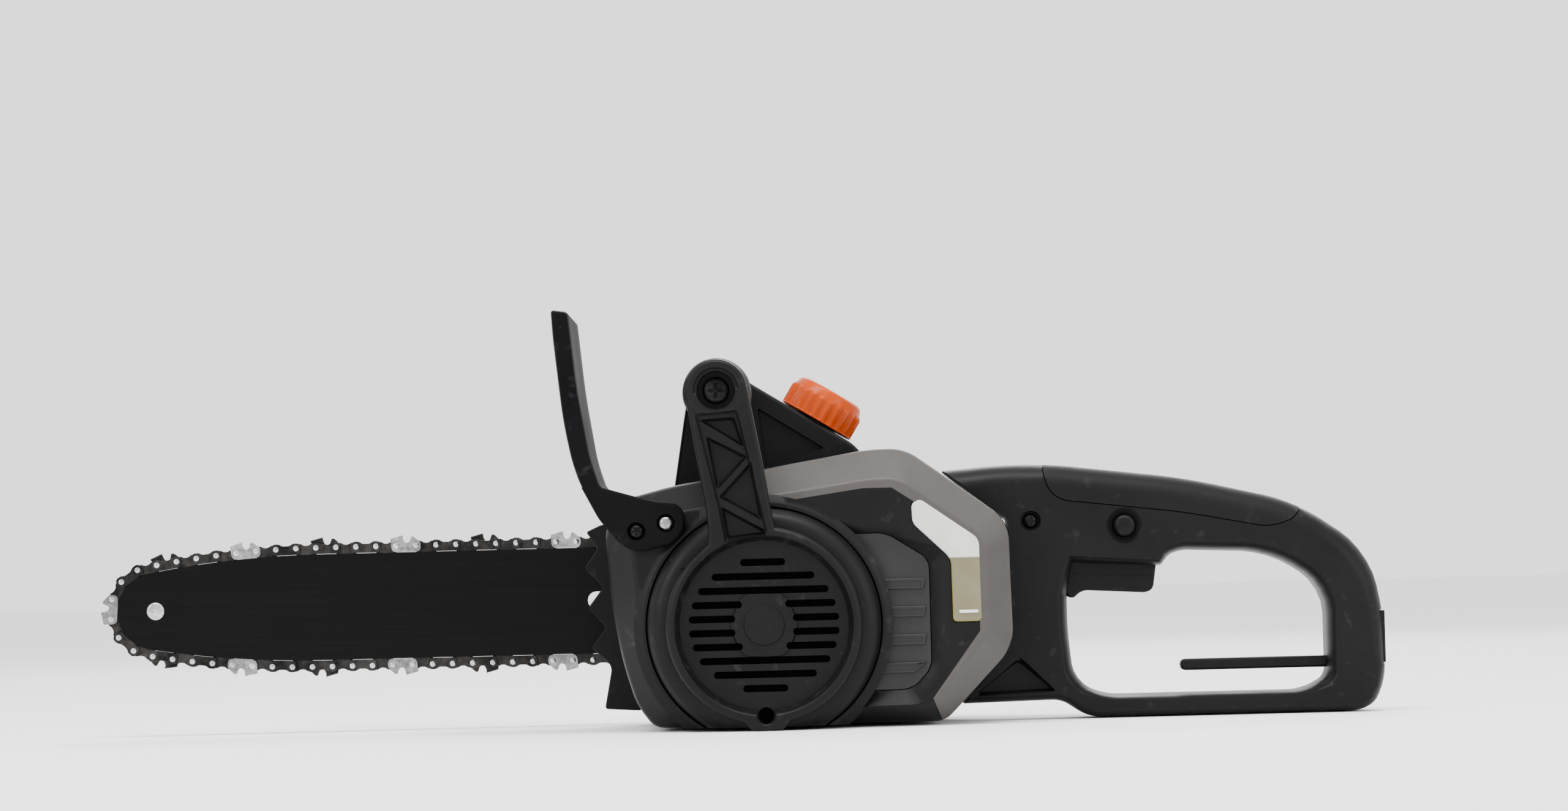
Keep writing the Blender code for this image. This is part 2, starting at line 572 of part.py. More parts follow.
SLOT_FRONT_X = -69.5
SLOT_HALF_HEIGHT = STUD_RADIUS + GAP
BAR_TRAVEL = 4.5
NOSE_RIVET_RADIUS = 3.85
BAR_FACE_Y = BAR_Y + BAR_THICKNESS / 2
tail = [(BAR_TAIL_X, BAR_Z - 14), (BAR_TAIL_X, BAR_Z + 14)]
guide_bar = prism("guide_bar", bar_path(0, 6) + tail, BAR_FACE_Y - BAR_THICKNESS, BAR_FACE_Y, BAR_PAINT)
SLOT_END_X = STUD_X + SLOT_HALF_HEIGHT + GAP
cut(
    guide_bar,
    prism("bar_slot", stadium(SLOT_FRONT_X, SLOT_END_X, BAR_Z, SLOT_HALF_HEIGHT), BAR_Y - 4, BAR_Y + 4),
    rod("nose_slot", NOSE_X, BAR_Z, NOSE_RADIUS + 0.8, BAR_Y - 0.9, BAR_Y + 0.9, steps=40),
    rod("nose_rivet_hole", NOSE_X, BAR_Z, NOSE_RIVET_RADIUS + GAP, BAR_Y - 4, BAR_Y + 4, steps=20),
)


def toothed(teeth, root, tip, share=0.5):
    """A wheel's outline with plain trapezoidal teeth."""
    outline = []
    for i in range(teeth):
        corners = (
            (0, root), (0.5 - share / 2, root), (0.5 - share / 5, tip), (0.5 + share / 5, tip),
            (0.5 + share / 2, root),
        )
        for turn, radius in corners:
            angle = 2 * math.pi * (i + turn) / teeth
            outline.append(Vector((radius * math.cos(angle), radius * math.sin(angle))))
    return outline


def moved(outline, x, z):
    return [Vector((p.x + x, p.y + z)) for p in outline]


NOSE_TEETH = 9
nose_sprocket = prism(
    "nose_sprocket", moved(toothed(NOSE_TEETH, NOSE_RADIUS - 4.3, NOSE_RADIUS - 0.8), NOSE_X, BAR_Z),
    BAR_Y - 0.6, BAR_Y + 0.6, STEEL,
)
cut(nose_sprocket, rod("nose_bore", NOSE_X, BAR_Z, NOSE_RIVET_RADIUS + GAP, BAR_Y - 4, BAR_Y + 4, steps=20))
nose_rivet = rod(
    "nose_rivet", NOSE_X, BAR_Z, NOSE_RIVET_RADIUS, BAR_FACE_Y - BAR_THICKNESS - 0.3, BAR_FACE_Y + 0.3,
    STEEL, 20,
)

CHAIN_EDGE_GAP = 0.35
CHAIN_LINKS = 80
CUTTER_EVERY = 8  # links from one cutter to the next on the same side
inner_loop = chain_path(CHAIN_EDGE_GAP)
strap_top = CHAIN_LINE + STRAP_HALF
outer_loop = []
for i, (here, outwards) in enumerate(spaced(chain_path(strap_top), CHAIN_LINKS * 2, 0.5)):
    rise = CUTTER_RISE - strap_top if i % CUTTER_EVERY in (0, 1) else 0
    outer_loop.append(here + outwards * rise)
chain = prism("chain", outer_loop, BAR_Y - CHAIN_WIDTH / 2, BAR_Y + CHAIN_WIDTH / 2, DARK_STEEL)
cut(chain, prism("chain_inside", inner_loop, BAR_Y - 5, BAR_Y + 5))

# Drive: pinion on the motor shaft, gear and sprocket on the spindle ----------------------------
def involute_gear(teeth, shift, tip_radius, thin=0.1, flank_points=3):
    """A spur gear's outline; thin is taken off each flank for backlash."""
    pitch_radius = GEAR_MODULE * teeth / 2
    pressure = math.radians(20)
    base = pitch_radius * math.cos(pressure)
    root = pitch_radius + GEAR_MODULE * (shift - 1.25)
    half = math.pi / (2 * teeth) + 2 * shift * math.tan(pressure) / teeth - thin / pitch_radius

    def involute(radius):
        roll = math.acos(min(base / radius, 1))
        return math.tan(roll) - roll

    start = max(base, root)
    flank = []
    for i in range(flank_points + 1):
        radius = start + (tip_radius - start) * i / flank_points
        flank.append((radius, half + involute(pitch_radius) - involute(radius)))
    if root < base:
        flank.insert(0, (root, flank[0][1]))
    outline = []
    for tooth in range(teeth):
        middle = 2 * math.pi * tooth / teeth
        outline += [(r, middle - a) for r, a in flank] + [(r, middle + a) for r, a in reversed(flank)]
    return [Vector((r * math.cos(a), r * math.sin(a))) for r, a in outline]


def turned_outline(outline, angle):
    spin = Matrix.Rotation(angle, 2)
    return [spin @ p for p in outline]


PINION_SHIFT = 0.4
PINION_TIP = GEAR_MODULE * (PINION_TEETH / 2 + 1 + PINION_SHIFT) - 0.1
GEAR_TIP = GEAR_MODULE * (GEAR_TEETH / 2 + 1 - PINION_SHIFT) - 0.15
line_of_centres = math.atan2(SPINDLE_Z - MOTOR_Z, SPINDLE_X - MOTOR_X)
pinion_outline = turned_outline(involute_gear(PINION_TEETH, PINION_SHIFT, PINION_TIP), line_of_centres)
gear_phase = line_of_centres + math.pi + math.pi / GEAR_TEETH
gear_outline = turned_outline(involute_gear(GEAR_TEETH, -PINION_SHIFT, GEAR_TIP, flank_points=2), gear_phase)
GEAR_END_Y = GEAR_Y + GEAR_WIDTH

pinion_gear = prism("pinion_gear", moved(pinion_outline, MOTOR_X, MOTOR_Z), GEAR_Y, GEAR_END_Y, STEEL)
cut(pinion_gear, rod("pinion_bore", MOTOR_X, MOTOR_Z, 2.8 + GAP, GEAR_Y - 2, GEAR_END_Y + 2))
drive_gear = prism("drive_gear", moved(gear_outline, SPINDLE_X, SPINDLE_Z), GEAR_Y, GEAR_END_Y, BRASS)
cut(drive_gear, rod("gear_bore", SPINDLE_X, SPINDLE_Z, SPINDLE_RADIUS + GAP, GEAR_Y - 2, GEAR_END_Y + 2))
PLATE_Y, PLATE_THICKNESS = 17.5, 4.0
spindle = rod("drive_spindle", SPINDLE_X, SPINDLE_Z, SPINDLE_RADIUS, PLATE_Y, BAR_Y + 8, STEEL)
DRIVE_TEETH = 6
drive_sprocket = prism(
    "drive_sprocket", moved(toothed(DRIVE_TEETH, 10.5, 14.2, 0.7), SPINDLE_X, SPINDLE_Z),
    BAR_Y - 4, BAR_Y + 4, STEEL,
)
cut(drive_sprocket, rod("sprocket_bore", SPINDLE_X, SPINDLE_Z, SPINDLE_RADIUS + GAP, BAR_Y - 6, BAR_Y + 6))
spindle_bearing = tube(
    "spindle_bearing", SPINDLE_X, SPINDLE_Z, SPINDLE_RADIUS + GAP, BEARING_RADIUS, RIGHT_Y - WALL, RIGHT_Y,
    STEEL,
)
GEARBOX = rounded([
    (-24, 20, 6), (10, 10, 6), (60, 20, 10), (78, 50, 10), (70, 86, 10), (30, 98, 10), (-20, 88, 8),
    (-34, 56, 8),
])
gearbox_plate = prism("gearbox_plate", GEARBOX, PLATE_Y, PLATE_Y + PLATE_THICKNESS, ALUMINIUM)
cut(
    gearbox_plate,
    rod("plate_motor_hole", MOTOR_X, MOTOR_Z, BEARING_RADIUS + GAP, PLATE_Y - 2, PLATE_Y + 6, steps=24),
    rod("plate_spindle_hole", SPINDLE_X, SPINDLE_Z, SPINDLE_RADIUS + GAP, PLATE_Y - 2, PLATE_Y + 6, steps=24),
)

# Motor ---------------------------------------------------------------------------------------
MOTOR_REAR_Y = -62.0
motor_shaft = turned("motor_shaft", [
    (0, MOTOR_REAR_Y), (SHAFT_RADIUS, MOTOR_REAR_Y), (SHAFT_RADIUS, GEAR_Y - GAP), (2.8, GEAR_Y - GAP),
    (2.8, GEAR_END_Y), (0, GEAR_END_Y),
], along_y(MOTOR_X, MOTOR_Z), STEEL, 16)
motor_bearing_rear = tube(
    "motor_bearing_rear", MOTOR_X, MOTOR_Z, SHAFT_RADIUS + GAP, 9, MOTOR_REAR_Y + 1, MOTOR_REAR_Y + 7, STEEL
)
motor_bearing_front = tube(
    "motor_bearing_front", MOTOR_X, MOTOR_Z, SHAFT_RADIUS + GAP, BEARING_RADIUS, PLATE_Y,
    PLATE_Y + PLATE_THICKNESS, STEEL,
)
COMMUTATOR_RADIUS = 11.0
commutator = tube("commutator", MOTOR_X, MOTOR_Z, SHAFT_RADIUS + GAP, COMMUTATOR_RADIUS, -50, -38, COPPER)
ARMATURE_RADIUS = 21.0
armature = tube("armature", MOTOR_X, MOTOR_Z, SHAFT_RADIUS + GAP, ARMATURE_RADIUS, -36, 2, STEEL, 24)
STATOR_RADIUS = 38.0
stator = tube("stator", MOTOR_X, MOTOR_Z, ARMATURE_RADIUS + RUNNING, STATOR_RADIUS, -34, 0, DARK_STEEL, 24)
brush_holders = [
    box(f"brush_holder_{side}", (MOTOR_X - 5, -48, low), (MOTOR_X + 5, -40, high), BRASS)
    for side, low, high in (
        ("upper", MOTOR_Z + COMMUTATOR_RADIUS + RUNNING, MOTOR_Z + STATOR_RADIUS),
        ("lower", MOTOR_Z - STATOR_RADIUS, MOTOR_Z - COMMUTATOR_RADIUS - RUNNING),
    )
]
FAN_Y, FAN_RADIUS, FAN_BLADES = 4.5, 34.0, 9
fan = tube("cooling_fan", MOTOR_X, MOTOR_Z, SHAFT_RADIUS + GAP, FAN_RADIUS, FAN_Y, FAN_Y + 1.6, BLACK, 24)
blades = []
for i in range(FAN_BLADES):
    angle = 2 * math.pi * i / FAN_BLADES
    blade = [Vector((x, z)) for x, z in ((8, -0.8), (FAN_RADIUS - 1, -0.8), (FAN_RADIUS - 1, 0.8), (8, 0.8))]
    blades.append(moved(turned_outline(blade, angle), MOTOR_X, MOTOR_Z))
join(fan, prisms("fan_blades", blades, FAN_Y + 0.8, FAN_Y + 9))

# Oil system: tank, pump, hose, filler cap --------------------------------------------------------
TANK_LOW = [(76, 26), (108, 26), (111, 42), (111, 80), (93, 97), (76, 97)]
TANK_HIGH = [
    (-11, 103), (-8, 130), (4, 135.5), (46, 109.5), (88, 109.5), (88, 88.5), (76.5, 88.5), (64, 103),
]
TANK_WALL = 2.2
oil_tank = prism("oil_tank", TANK_LOW, -44, 16, CLEAR)
join(oil_tank, prism("tank_high", TANK_HIGH, TOWER_Y + WALL + 1, RIGHT_Y - WALL - 1))
neck = turned("tank_neck", [
    (0, -NECK_DEPTH), (NECK_RADIUS, -NECK_DEPTH), (NECK_RADIUS, -GAP), (0, -GAP),
], cap_axis)
tank_room = prism("tank_room", inset(TANK_LOW, TANK_WALL), -44 + TANK_WALL, 16 - TANK_WALL)
tank_high_room = prism(
    "tank_high_room", inset(TANK_HIGH, TANK_WALL), TOWER_Y + WALL + 1 + TANK_WALL,
    RIGHT_Y - WALL - 1 - TANK_WALL,
)
neck_bore = turned("tank_neck_bore", [
    (0, -NECK_DEPTH - 5), (NECK_BORE, -NECK_DEPTH - 5), (NECK_BORE, 2), (0, 2),
], cap_axis)
join(oil_tank, neck)
cut(oil_tank, tank_room, tank_high_room, neck_bore)
oil_pump = box("oil_pump", (72, PLATE_Y + 6, 14), (92, RIGHT_Y - WALL - 1, 24.5), BRASS)

hose_curve = bpy.data.curves.new("oil_hose", "CURVE")
hose_curve.dimensions = "3D"
HOSE_RADIUS = 1.8
HOSE_POINTS = [
    (72 - GAP, 26, 19), (60, 26, 19), (44, 26, 20.5), (30, 27, 24), (20, 29, 30), (14, RIGHT_Y - 6.5, 36),
]
spline = hose_curve.splines.new("POLY")
spline.points.add(len(HOSE_POINTS) - 1)
for point, place in zip(spline.points, HOSE_POINTS):
    point.co = (*place, 1)
hose_curve.bevel_depth = HOSE_RADIUS
hose_curve.bevel_resolution = 2
hose_curve.use_fill_caps = True
hose_curve.materials.append(RUBBER)
oil_hose = bpy.data.objects.new("oil_hose", hose_curve)
bpy.context.scene.collection.objects.link(oil_hose)
oil_hose.parent = SAW

SEAL_HEIGHT = 2.8
cap_seal = turned("oil_cap_seal", [
    (0, -8), (NECK_BORE - 2 * GAP, -8), (NECK_BORE - 2 * GAP, GAP + 0.2), (CAP_RADIUS - 1.5, GAP + 0.2),
    (CAP_RADIUS - 1.5, SEAL_HEIGHT), (0, SEAL_HEIGHT),
], cap_axis, RUBBER)
FLUTES, FLUTE_DEPTH, FLUTED_HEIGHT = 24, 1.0, 10.5
oil_cap = turned("oil_cap", [
    (0, SEAL_HEIGHT + GAP), (CAP_RADIUS, SEAL_HEIGHT + GAP), (CAP_RADIUS, FLUTED_HEIGHT),
    (CAP_RADIUS - 2, CAP_HEIGHT - 2), (CAP_RADIUS - 5, CAP_HEIGHT), (0, CAP_HEIGHT),
], cap_axis, ORANGE, FLUTES)

# Sprocket cover and chain tensioner ---------------------------------------------------------------
COVER = rounded([
    (-50, 20, 4), (-40, 0, 5), (30, 0, 10), (66, 12, 12), (88, 40, 12), (90, 72, 12), (70, 98, 14),
    (30, 103, 8), (-50, 99, 6),
])
COVER_WALL = 3.0
COVER_EDGE_Y = RIGHT_Y + GAP
sprocket_cover = loft(
    "sprocket_cover", [(COVER, COVER_EDGE_Y), (COVER, COVER_Y - 4), (inset(COVER, 4), COVER_Y)], BLACK
)
RING_BORE = 11.5
MOUTH = [(-60, 18), (-60, 101), (-40, 95), (-40, 24)]
cut(
    sprocket_cover,
    prism("cover_room", inset(COVER, COVER_WALL), COVER_EDGE_Y - 2, COVER_Y - COVER_WALL),
    prism("cover_mouth", MOUTH, COVER_EDGE_Y - 2, BAR_Y + 8),
    prism("spike_room", inset(SPIKES, -2 * GAP), COVER_EDGE_Y - 2, COVER_EDGE_Y + SPIKE_THICKNESS + GAP),
    rod("cover_hole", STUD_X, BAR_Z, RING_BORE, COVER_Y - 8, COVER_Y + 2, steps=32),
)
CATCHER_X, CATCHER_Z = -36.0, 14.0
chain_catcher = rod(
    "chain_catcher", CATCHER_X, CATCHER_Z, 3.5, COVER_EDGE_Y, COVER_Y - COVER_WALL - GAP, ALUMINIUM
)

PIN_REACH = 18.5  # from the stud to the adjuster's pin while the chain is taut
SCROLL_TURN = math.radians(270)
SCROLL_Y, SCROLL_THICKNESS = 57.5, 3.2
PIN_RADIUS = 2.2
SCROLL_RADIUS = PIN_REACH + 7
scroll_plate = tube("scroll_plate", STUD_X, BAR_Z, STUD_RADIUS + 1.6, SCROLL_RADIUS, SCROLL_Y,
                    SCROLL_Y + SCROLL_THICKNESS, STEEL, 28)
groove_edges = []
GROOVE_STEPS = 18
for side in (-1, 1):
    edge = []
    for i in range(-2, GROOVE_STEPS + 3):
        angle = SCROLL_TURN * i / GROOVE_STEPS
        radius = PIN_REACH - BAR_TRAVEL * angle / SCROLL_TURN + side * (PIN_RADIUS + 2 * GAP)
        edge.append(Vector((STUD_X - radius * math.cos(angle), BAR_Z - radius * math.sin(angle))))
    groove_edges.append(edge)
groove = prism("scroll_groove", groove_edges[0] + groove_edges[1][::-1], SCROLL_Y - 1, SCROLL_Y + 2.4)
cut(scroll_plate, groove)
tension_ring = turned("tension_ring", [
    (STUD_RADIUS + 1.6, SCROLL_Y + SCROLL_THICKNESS + GAP),
    (RING_BORE - RUNNING, SCROLL_Y + SCROLL_THICKNESS + GAP),
    (RING_BORE - RUNNING, COVER_Y + GAP), (25, COVER_Y + GAP), (25, COVER_Y + 7), (19, COVER_Y + 7),
    (19, COVER_Y + 2.5), (STUD_RADIUS + 1.6, COVER_Y + 2.5),
], along_y(STUD_X, BAR_Z), GREY, 28)
KNOB_Y = COVER_Y + 2.5 + GAP
KNOB_END_Y = -STRUT_FRONT_Y
bar_stud = rod("bar_stud", STUD_X, BAR_Z, STUD_RADIUS, RIGHT_Y - 6, KNOB_Y + 6, STEEL)
knob_insert = tube(
    "lock_knob_nut", STUD_X, BAR_Z, STUD_RADIUS + GAP, 7.5, KNOB_Y, KNOB_Y + 7, STEEL, 18
)
lock_knob = turned("lock_knob", [
    (7.5 + GAP, KNOB_Y), (17.5, KNOB_Y), (17.5, KNOB_END_Y - 2), (15.5, KNOB_END_Y), (0, KNOB_END_Y),
    (0, KNOB_Y + 7 + GAP), (7.5 + GAP, KNOB_Y + 7 + GAP),
], along_y(STUD_X, BAR_Z), BLACK, 24)

ADJUSTER_Y = BAR_FACE_Y + GAP
pin_x = STUD_X - PIN_REACH
bar_adjuster = box(
    "bar_adjuster", (pin_x - 9, ADJUSTER_Y, BAR_Z - 8), (pin_x + 5, ADJUSTER_Y + 3, BAR_Z + 8), STEEL
)
join(bar_adjuster, rod("adjuster_pin", pin_x, BAR_Z, PIN_RADIUS, ADJUSTER_Y + 2, SCROLL_Y + 2, steps=16))

# Rear handle -----------------------------------------------------------------------------------------
HANDLE = rounded([
    (98.6, 115.6, 1), (126, HANDLE_TOP_Z + 0.6, 10), (150, HANDLE_TOP_Z, 8), (209.9, 109.8, 14),
    (262, 97.5, 14), (296, 74, 16), (HANDLE_END_X, 44, 8), (HANDLE_END_X, 12, 8), (294, 0, 7), (164, 0, 5),
    (151.4, 8.4, 4), (105.7, 7.6, 1), (128.6, 33.6, 2), (128.6, 92.2, 1),
], 3)
OPENING = rounded([
    (155.2, 57, 0), (155.2, 40, 6), (157.5, 17, 8), (172, 10.2, 6), (264, 10.2, 6), (275, 16.4, 3.5),
    (275, 58, 12), (250, 74.5, 12), (209, 76.4, 3), (203, 74.4, 2), (199, 69.4, 1), (199, 69.3, 0),
    (158, 71.7, 0),
], 3)
CHANNEL = [
    (132.5, 92), (132.5, 113), (150, 112.5), (176, 110), (210, 104.5), (258, 92.5), (281, 80), (292, 67),
    (299, 45), (299, 16), (281, 16), (280, 60), (254, 79), (214, 81), (203, 79.5), (199, 76), (160, 76),
    (151, 70), (150, 48), (132.5, 42),
]
WEB = [(112, 12), (148, 13), (131.5, 28)]
SEAM = rounded([
    (144.6, 125, 0), (145.4, 108, 5), (152, 100.6, 4), (175.6, 97.7, 6), (209.6, 93.5, 8), (250, 85.5, 6),
    (262, 90, 4), (268, 102, 0), (268, 125, 0),
], 3)
GRIP_INSET_SIDE = 1.4
seam_recess_left = prism("seam_recess_left", SEAM, -HANDLE_HALF - 1, -HANDLE_HALF + GRIP_INSET_SIDE)
seam_recess_right = prism("seam_recess_right", SEAM, HANDLE_HALF - GRIP_INSET_SIDE, HANDLE_HALF + 1)
GRIP_TOP = [(144.6, HANDLE_TOP_Z), (150, HANDLE_TOP_Z), (209, 109.9), (262, 97), (268, 93.4)]


def under_grip(drop, far_z, ends=0.0):
    """The region between the grip's top line, lowered by drop, and the height far_z."""
    line = [(x, z - drop) for x, z in GRIP_TOP]
    line[0] = (line[0][0] - ends, line[0][1])
    line[-1] = (line[-1][0] + ends, line[-1][1] - ends * 0.6)
    return line + [(line[-1][0], far_z), (line[0][0], far_z)]


top_recess = prism("top_recess", under_grip(GRIP_SKIN, 130), -HANDLE_HALF - 2, HANDLE_HALF + 2)

INLET_LOW, INLET_HIGH = (282.0, -12.0, INLET_Z - 12.0), (HANDLE_END_X, 12.0, INLET_Z + 12.0)
HANDLE_SCREW_X, HANDLE_SCREW_Z = 138.8, 91.4
shared_cuts = [
    prism("hand_opening", OPENING, -HANDLE_HALF - 2, HANDLE_HALF + 2),
    prism("handle_channel", CHANNEL, -HANDLE_HALF + 3, HANDLE_HALF - 3),
    box("trigger_slot", (152.6, -TRIGGER_HALF - 0.7, 52), (200.2, TRIGGER_HALF + 0.7, 80)),
    box("inlet_hole", [v - GAP for v in INLET_LOW], (HANDLE_END_X + 2, 12 + GAP, INLET_HIGH[2] + GAP)),
    top_recess,
    rod("handle_screw_hole", HANDLE_SCREW_X, HANDLE_SCREW_Z, 2.2, -HANDLE_HALF, HANDLE_HALF - 4, steps=12),
]
rear_handle_left = prism("rear_handle_left", HANDLE, -HANDLE_HALF, -GAP / 2, BLACK)
rear_handle_right = prism("rear_handle_right", HANDLE, GAP / 2, HANDLE_HALF, BLACK)
web_left = prism("web_left", WEB, -HANDLE_HALF - 1, -HANDLE_HALF + 6)
web_right = prism("web_right", WEB, HANDLE_HALF - 6, HANDLE_HALF + 1)
button_hole = rod(
    "button_hole", BUTTON_X, BUTTON_Z, BUTTON_RADIUS + 0.5, -HANDLE_HALF - 1, -HANDLE_HALF + 5, steps=24
)
screw_recess = rod(
    "handle_screw_recess", HANDLE_SCREW_X, HANDLE_SCREW_Z, 4, -HANDLE_HALF - 1, -HANDLE_HALF + 3, steps=16
)
cut(rear_handle_left, *shared_cuts, seam_recess_left, web_left, button_hole, screw_recess, solver="MANIFOLD")
cut(rear_handle_right, *shared_cuts, seam_recess_right, web_right, solver="MANIFOLD")

rear_grip = prism("rear_grip", inset(SEAM, GAP), -HANDLE_HALF - 0.2, HANDLE_HALF + 0.2, RUBBER)
cut(
    rear_grip,
    prism("grip_room", under_grip(GRIP_SKIN - GAP, 60, 6), -HANDLE_HALF + GRIP_INSET_SIDE - GAP,
          HANDLE_HALF - GRIP_INSET_SIDE + GAP),
    prism("grip_sky", under_grip(0.4, 140, 6), -HANDLE_HALF - 3, HANDLE_HALF + 3),
    solver="MANIFOLD",
)

handle_screw = turned("handle_screw", [
    (0, -HANDLE_HALF + 0.4), (3.3, -HANDLE_HALF + 1), (3.3, -HANDLE_HALF + 3 - GAP),
    (1.8, -HANDLE_HALF + 3 - GAP), (1.8, HANDLE_HALF - 5), (0, HANDLE_HALF - 5),
], along_y(HANDLE_SCREW_X, HANDLE_SCREW_Z), STEEL, 12)

TRIGGER = rounded([
    (154.8, 56.4, 1.5), (158.4, 54.9, 1.5), (162, 58.8, 3), (192.9, 56.9, 2), (195.6, 59, 1.5),
    (197.2, 70, 1), (198.6, 80, 1), (209, 81.5, 1), (209, 84, 1), (172, 84, 2), (166, 86, 3), (156.6, 85, 3),
    (155.8, 70, 3),
], 2)
trigger = prism("trigger", TRIGGER, -TRIGGER_HALF, TRIGGER_HALF, BLACK)
TRIGGER_PIN_RADIUS = 1.6
cut(trigger, rod("trigger_bore", TRIGGER_X, TRIGGER_Z, TRIGGER_PIN_RADIUS + GAP, -10, 10))
trigger_pin = rod("trigger_pin", TRIGGER_X, TRIGGER_Z, TRIGGER_PIN_RADIUS, -HANDLE_HALF + 3 + GAP,
                  HANDLE_HALF - 3 - GAP, STEEL, 12)
SWITCH_LOW_Z, SWITCH_X0, SWITCH_X1 = 91.0, 198.0, 222.0
PLUNGER_X, PLUNGER_RADIUS = 204.0, 2.0
trigger_switch = box(
    "trigger_switch", (SWITCH_X0, -8, SWITCH_LOW_Z), (SWITCH_X1, 8, SWITCH_LOW_Z + 10), BLACK
)
plunger_matrix = Matrix.Translation((PLUNGER_X, 0, 0))
cut(trigger_switch, turned("plunger_bore", [
    (0, SWITCH_LOW_Z - 1), (PLUNGER_RADIUS + GAP, SWITCH_LOW_Z - 1),
    (PLUNGER_RADIUS + GAP, SWITCH_LOW_Z + 8.5), (0, SWITCH_LOW_Z + 8.5),
], plunger_matrix, steps=16))
switch_plunger = turned("switch_plunger", [
    (0, 84.5), (PLUNGER_RADIUS, 84.5), (PLUNGER_RADIUS, SWITCH_LOW_Z + 2.5), (0, SWITCH_LOW_Z + 2.5),
], plunger_matrix, STEEL, 16)
lock_button = turned("lock_off_button", [
    (0, -HANDLE_HALF - 2.6), (BUTTON_RADIUS - 0.9, -HANDLE_HALF - 2.6), (BUTTON_RADIUS, -HANDLE_HALF - 1.7),
    (BUTTON_RADIUS, -HANDLE_HALF + 8), (0, -HANDLE_HALF + 8),
], along_y(BUTTON_X, BUTTON_Z), BLACK, 24)

power_inlet = box("power_inlet", INLET_LOW, INLET_HIGH, BLACK)
INLET_BACK_X = INLET_LOW[0] + 4
cut(power_inlet, box("inlet_room", (INLET_BACK_X, -9.5, INLET_Z - 8), (HANDLE_END_X + 2, 9.5, INLET_Z + 8)))
inlet_blades = [
    box(
        f"inlet_blade_{side}", (INLET_BACK_X + GAP, y - 0.75, INLET_Z - 3.2),
        (INLET_BACK_X + 14, y + 0.75, INLET_Z + 3.2), BRASS,
    )
    for side, y in (("left", -6.3), ("right", 6.3))
]
HOOK = rounded([(207.3, 20.4, 2.4), (207.3, 25.7, 2.4), (274.7, 25.7, 0), (274.7, 20.4, 0)], 3)
cord_hook = prism("cord_hook", HOOK, -4, 4, BLACK)

# Joints' axes, and the frame's origin -----------------------------------------------------------
hang(pivot("motor_axis", MOTOR_X, GEAR_Y, MOTOR_Z), motor_shaft, pinion_gear, commutator, armature, fan)
hang(pivot("spindle_axis", SPINDLE_X, GEAR_Y, SPINDLE_Z), spindle, drive_gear, drive_sprocket)
hang(pivot("nose_axis", NOSE_X, BAR_Y, BAR_Z), nose_sprocket)
hang(pivot("bar_slide_axis", STUD_X, BAR_Y, BAR_Z), guide_bar, chain, nose_rivet, bar_adjuster)
hang(pivot("tension_axis", STUD_X, COVER_Y, BAR_Z), tension_ring, scroll_plate)
hang(pivot("lock_axis", STUD_X, KNOB_Y, BAR_Z), lock_knob, knob_insert)
hang(pivot("cap_axis", CAP_X, CAP_Y, CAP_Z), oil_cap, cap_seal)
hang(pivot("trigger_axis", TRIGGER_X, 0, TRIGGER_Z), trigger)
hang(pivot("plunger_axis", PLUNGER_X, 0, SWITCH_LOW_Z), switch_plunger)
hang(pivot("button_axis", BUTTON_X, -HANDLE_HALF, BUTTON_Z), lock_button)
nose_tip_x = min(p.x for p in outer_loop)
SAW.location = Vector((-(HANDLE_END_X + nose_tip_x) / 2, 0, 0)) * MM
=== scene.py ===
import math

import bmesh
import bpy
from mathutils import Matrix, Vector


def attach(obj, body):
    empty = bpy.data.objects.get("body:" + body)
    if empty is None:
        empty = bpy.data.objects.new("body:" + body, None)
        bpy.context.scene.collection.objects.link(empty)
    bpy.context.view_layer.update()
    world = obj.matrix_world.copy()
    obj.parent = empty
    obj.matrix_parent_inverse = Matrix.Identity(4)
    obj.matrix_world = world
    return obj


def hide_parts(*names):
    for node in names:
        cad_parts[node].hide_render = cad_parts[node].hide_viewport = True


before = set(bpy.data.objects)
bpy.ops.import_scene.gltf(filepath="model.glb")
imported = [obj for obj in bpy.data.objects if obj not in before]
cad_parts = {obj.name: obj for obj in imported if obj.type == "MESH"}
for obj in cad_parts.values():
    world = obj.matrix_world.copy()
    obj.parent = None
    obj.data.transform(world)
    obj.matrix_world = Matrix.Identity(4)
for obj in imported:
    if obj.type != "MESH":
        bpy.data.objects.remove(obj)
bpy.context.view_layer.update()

# Camera, floor and light ---------------------------------------------------------------------
# The camera stands 2.2 m in front of the saw at the height of its motor, with a long lens, and leans
# a little to its left, so that the saw climbs towards its rear handle. The floor and light are pale.
EYE, AIM = Vector((0.030, -2.2, 0.07025)), Vector((0.0262, 0.050, 0.150))
LEAN = math.radians(-1.45)
bpy.ops.object.select_all(action="DESELECT")
bpy.ops.object.camera_add(location=EYE)
camera = bpy.context.object
camera.name = "camera"
camera.data.lens = 108.4
camera.rotation_euler = (AIM - EYE).to_track_quat("-Z", "Y").to_euler()
camera.rotation_euler.rotate_axis("Z", LEAN)
bpy.context.scene.camera = camera


def softbox(name, place, size, power):
    bpy.ops.object.light_add(type="AREA", location=place)
    lamp = bpy.context.object
    lamp.name = name
    lamp.data.shape = "RECTANGLE"
    lamp.data.size, lamp.data.size_y = size
    lamp.data.energy = power
    lamp.rotation_euler = (Vector((0, 0, 0.08)) - lamp.location).to_track_quat("-Z", "Y").to_euler()


softbox("overhead_softbox", (0.0, -0.5, 1.6), (1.5, 0.35), 42)
softbox("front_left_softbox", (-1.7, -1.5, 1.0), (0.35, 0.9), 22)
softbox("front_right_softbox", (1.9, -1.3, 0.8), (0.35, 0.9), 14)
softbox("rear_softbox", (0.4, 1.9, 1.3), (1.4, 0.7), 24)

